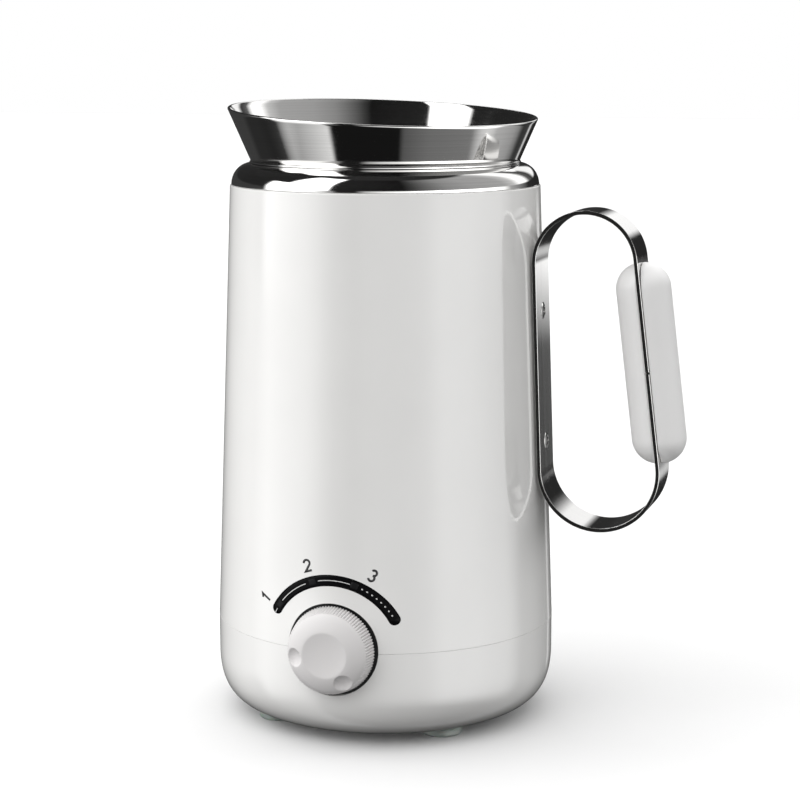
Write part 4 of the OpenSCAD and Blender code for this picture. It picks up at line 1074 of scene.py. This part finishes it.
class KETTLE_OT_inside(bpy.types.Operator):
    """Finish the pieces inside the body"""
    bl_idname = "kettle.inside"
    bl_label = "Inner Pieces"

    # Finish, colour, roughness, grain and the nodes that have it
    metals = (
        ("plain steel", (0.50, 0.50, 0.49), 0.3, 900,
         "bracket_screws carrier_screws base_screws stud_nuts clamp_screws inlet_screws handle_nut_plate"
         " switch_bracket switch_shaft thermostat_clamp"),
        ("cast alloy", (0.58, 0.58, 0.57), 0.5, 500, "heating_plate"),
        ("tube steel", (0.30, 0.29, 0.27), 0.45, 700, "heating_element"),
        ("brass", (0.62, 0.45, 0.18), 0.3, 900, "switch_tab_1 switch_tab_2 switch_tab_3 shaft_nut"),
    )
    # Finish, colour, roughness, grain, depth of the grain and the nodes that have it
    mouldings = (
        ("white ceramic", (0.72, 0.70, 0.65), 0.3, 2000, 0.01*MM,
         "boil_thermostat keep_warm_thermostat thermal_fuse"),
        ("grey nylon", (0.35, 0.35, 0.34), 0.5, 1800, 0.02*MM, "carrier_ring switch_rotor"),
        ("switch resin", (0.05, 0.035, 0.025), 0.45, 1800, 0.02*MM, "switch_case switch_back"),
        ("grey rubber", (0.12, 0.12, 0.12), 0.7, 1500, 0.02*MM, "neck_gasket"),
        ("lead live", (0.22, 0.07, 0.03), 0.5, 3000, 0.02*MM, "lead_live"),
        ("lead neutral", (0.03, 0.09, 0.32), 0.5, 3000, 0.02*MM, "lead_neutral"),
        ("lead earth", (0.20, 0.33, 0.04), 0.5, 3000, 0.02*MM, "lead_earth"),
        ("lead red", (0.35, 0.03, 0.02), 0.5, 3000, 0.02*MM,
         "lead_boil lead_warm lead_boil_out lead_warm_out lead_fuse"),
    )

    def execute(self, context):
        for make, rows in ((plain_metal, self.metals), (moulded, self.mouldings)):
            for *recipe, nodes in rows:
                dress(nodes.split(), make(*recipe))
        return {"FINISHED"}


class KETTLE_OT_stage(bpy.types.Operator):
    """Set up the floor, the studio light and the camera"""
    bl_idname = "kettle.stage"
    bl_label = "Stage"

    # Panels that the steel reflects: bearing in degrees from the front, towards the handle, and level
    low_panels = (
        (-180, 0.03), (-96, 0.01), (-84, 0.06), (-68, 0.45), (-50, 0.72), (-36, 0.95), (-32, 0.01),
        (31, 0.01), (36, 0.12), (60, 0.2), (100, 0.24), (124, 0.5), (140, 0.45), (152, 0.08), (180, 0.03),
    )
    front_panels = (
        (-72, 1.9), (-40, 1.9), (-18, 0.02), (-4, 0.02), (4, 0.7), (14, 1.2), (30, 1.7), (44, 2.4), (58, 4.0),
        (80, 4.0), (108, 2.6), (124, 0.5), (150, 0.03),
    )
    grey_left = ((-168, 0.02), (-150, 0.05), (-104, 0.06), (-86, 0.5))
    wall_panels = (
        (-27, 4.0), (-23, 0.02), (31, 0.01), (38, 0.06), (50, 0.18), (65, 0.34), (85, 0.45), (118, 0.5),
        (130, 0.75), (138, 1.6), (149, 1.6), (156, 0.15),
    )
    base_panels = (
        (-180, 0.03), (-83, 0.03), *front_panels[:-2], (124, 0.6), (145, 0.4), (160, 0.05), (180, 0.02),
    )
    body_panels = (
        (-180, 0.02), *grey_left, *front_panels, (167.1, 0.06), (167.8, 0.7), (171, 0.7), (173, 0.03),
        (180, 0.02),
    )
    slit_panels = (
        (-180, 0.02), *grey_left, *front_panels, (163.8, 0.03), (165.3, 1.3), (172, 1.3), (174, 0.03),
        (180, 0.02),
    )
    dark_back = ((-180, 0.02), (-150, 0.05), (-84, 0.06), (-77, 2.8), *front_panels[1:], (180, 0.02))
    bright_back = (
        (-180, 1.2), (-176, 1.2), (-172, 0.03), (-84, 0.02), (-77, 4.0), *wall_panels, (165, 0.05),
        (168, 0.6), (171, 1.2), (180, 1.2),
    )
    wide_back = (
        (-180, 2.2), (-150, 2.2), (-142, 0.03), (-66, 0.02), (-58, 4.0), *wall_panels, (163, 0.1),
        (166, 2.2), (180, 2.2),
    )
    dark_top = ((-180, 0.03), (180, 0.03))
    # Each layer takes over from the one below between two heights of the direction, -1 down to 1 up
    layers = (
        (base_panels, -0.62, -0.42), (body_panels, -0.35, -0.30), (slit_panels, -0.12, -0.085),
        (dark_back, -0.075, -0.045), (bright_back, 0.12, 0.16), (wide_back, 0.45, 0.5),
        (dark_top, 0.84, 0.88),
    )
    even_light = (
        (-180, 1.0), (-100, 1.1), (-20, 1.1), (20, 0.9), (45, 0.6), (85, 0.6), (110, 1.0), (180, 1.0),
    )
    even_low, even_high = -0.05, 0.55
    # Name, bearing, height and spread in degrees, and the size group's own power
    lamps = (
        ("key light", -52, 35, 70, "key_power"), ("left light", -95, 3, 70, "left_power"),
        ("side light", 120, 14, 40, "side_power"), ("top light", 150, 78, 60, "top_power"),
    )
    floor_half, floor_squares, contact_sides, contact_drop = 6, 24, 96, 0.1*MM
    sensor = 36

    def execute(self, context):
        stage = context.scene.kettle_stage
        self.floor()
        self.contact(stage)
        self.lights(stage)
        self.room(context.scene, stage)
        lens = bpy.data.cameras.new("camera")
        lens.lens = stage.camera_lens
        lens.sensor_width = self.sensor
        lens.dof.use_dof = False
        camera = bpy.data.objects.new("camera", lens)
        camera.location = stage.camera_place
        camera.rotation_euler = (math.pi/2 - stage.camera_down, 0, stage.camera_turn)
        context.scene.collection.objects.link(camera)
        context.scene.camera = camera
        context.scene.view_settings.view_transform = "Standard"
        return {"FINISHED"}

    def floor(self):
        """A pale floor with an uneven matt skin; the polished steel reflects the room instead."""
        bm = bmesh.new()
        squares = self.floor_squares
        bmesh.ops.create_grid(bm, x_segments=squares, y_segments=squares, size=self.floor_half)
        floor = make_object("floor", bm)
        paper = finished("floor paper", (3, 3.0, (0.72,)*3, (0.735,)*3), (40, 3.0, 0.7, 0.9), IOR=1.3)
        floor.data.materials.append(paper)
        floor.visible_glossy = False
        floor.visible_diffuse = False

    def contact(self, stage):
        """Dark ground under the object that only matt light meets, for its shadow where it stands."""
        bm = bmesh.new()
        bmesh.ops.create_circle(bm, cap_ends=True, segments=self.contact_sides, radius=stage.contact_radius)
        shade_disc = make_object("contact_shade", bm)
        shade_disc.data.materials.append(finished("contact shade", (40, 3.0, (0.04,)*3, (0.06,)*3)))
        shade_disc.location.z = -self.contact_drop
        shade_disc.visible_camera = False
        shade_disc.visible_glossy = False
        shade_disc.visible_shadow = False

    def lights(self, stage):
        """Four broad soft lights, each from a bearing off the front and a height."""
        for name, bearing, height, spread, power in self.lamps:
            lamp = bpy.data.lights.new(name, "SUN")
            lamp.energy = getattr(stage, power)
            lamp.angle = math.radians(spread)
            light = bpy.data.objects.new(name, lamp)
            turn, rise = math.radians(bearing), math.radians(height)
            spot = Vector((math.sin(turn)*math.cos(rise), -math.cos(turn)*math.cos(rise), math.sin(rise)))
            light.location = spot
            light.rotation_euler = (-spot).to_track_quat("-Z", "Y").to_euler()
            light.visible_glossy = False
            bpy.context.scene.collection.objects.link(light)

    def room(self, scene, stage):
        """Even light for matt surfaces, panels for reflections and white behind the object."""
        world = bpy.data.worlds.new("studio")
        scene.world = world
        world.use_nodes = True
        tree = world.node_tree
        tree.nodes.clear()
        way = add_node(tree, "TexCoord", {}).outputs["Generated"]
        parts = add_node(tree, "SeparateXYZ", {"Vector": way}).outputs
        front = add_node(tree, "Math", {0: parts["Y"], 1: -1.0}, operation="MULTIPLY").outputs[0]
        bearing = add_node(tree, "Math", {0: parts["X"], 1: front}, operation="ARCTAN2").outputs[0]
        share = add_node(tree, "MapRange", {"Value": bearing, "From Min": -math.pi, "From Max": math.pi})
        share = share.outputs["Result"]
        shown = self.round_about(tree, share, self.low_panels)
        for panels, low, high in self.layers:
            shown = self.above(tree, parts["Z"], low, high, shown, self.round_about(tree, share, panels))
        even_below = self.round_about(tree, share, self.even_light, stage.room_below)
        even_above = self.round_about(tree, share, self.even_light, stage.room_above)
        even = self.above(tree, parts["Z"], self.even_low, self.even_high, even_below, even_above)
        matt, panels, white = (
            add_node(tree, "Background", {"Color": light}).outputs[0]
            for light in (even, shown, (1.0, 1.0, 1.0, 1.0)))
        ray = add_node(tree, "LightPath", {}).outputs
        lit = add_node(tree, "MixShader", {"Fac": ray["Is Glossy Ray"], 1: matt, 2: panels}).outputs[0]
        seen = add_node(tree, "MixShader", {"Fac": ray["Is Camera Ray"], 1: lit, 2: white}).outputs[0]
        add_node(tree, "OutputWorld", {"Surface": seen})

    def round_about(self, tree, share, panels, strength=1.0):
        """Light that changes with the bearing, from stops of bearing in degrees and level."""
        ramp = add_node(tree, "ValToRGB", {"Fac": share})
        stops = ramp.color_ramp.elements
        for _ in range(len(panels) - len(stops)):
            stops.new(0.5)
        for stop, (degrees, level) in zip(stops, panels):
            stop.position = (degrees + 180)/360
            stop.color = (*(level*strength,)*3, 1.0)
        return ramp.outputs["Color"]

    def above(self, tree, height, low, high, under, over):
        """Blends from one light to the next over a range of heights of the direction."""
        rise = add_node(tree, "MapRange", {"Value": height, "From Min": low, "From Max": high})
        blend = add_node(tree, "Mix", {"Factor": rise.outputs["Result"]}, data_type="RGBA")
        sockets = [s for s in blend.inputs if s.type == "RGBA"]
        for socket, source in zip(sockets, (under, over)):
            tree.links.new(source, socket)
        return next(s for s in blend.outputs if s.type == "RGBA")


OPERATORS = (
    KETTLE_OT_body, KETTLE_OT_steel, KETTLE_OT_handle, KETTLE_OT_knob, KETTLE_OT_dial,
    KETTLE_OT_feet, KETTLE_OT_inlet, KETTLE_OT_inside, KETTLE_OT_stage,
)
GROUPS = {
    "kettle_body": KettleBody, "kettle_steel": KettleSteel, "kettle_handle": KettleHandle,
    "kettle_control": KettleControl, "kettle_colours": KettleColours, "kettle_stage": KettleStage,
}


class KETTLE_PT_panel(bpy.types.Panel):
    """Sidebar panel that lists the pieces"""
    bl_idname = "KETTLE_PT_panel"
    bl_label = "Travel Kettle"
    bl_space_type = "VIEW_3D"
    bl_region_type = "UI"
    bl_category = "Kettle"

    def draw(self, context):
        for operator in OPERATORS:
            self.layout.operator(operator.bl_idname)
        for name, group in GROUPS.items():
            box = self.layout.box()
            for prop in group.__annotations__:
                box.prop(getattr(context.scene, name), prop)


def register():
    """Registers the classes and hangs the size groups on the scene."""
    for cls in (*GROUPS.values(), *OPERATORS, KETTLE_PT_panel):
        bpy.utils.register_class(cls)
    for name, group in GROUPS.items():
        setattr(bpy.types.Scene, name, PointerProperty(type=group))


def unregister():
    """Takes the size groups off the scene and unregisters the classes."""
    for name in GROUPS:
        delattr(bpy.types.Scene, name)
    for cls in (KETTLE_PT_panel, *OPERATORS[::-1], *list(GROUPS.values())[::-1]):
        bpy.utils.unregister_class(cls)


def main():
    """Runs the operators in order."""
    register()
    for operator in OPERATORS:
        group, name = operator.bl_idname.split(".")
        getattr(getattr(bpy.ops, group), name)()


if __name__ == "__main__":
    main()
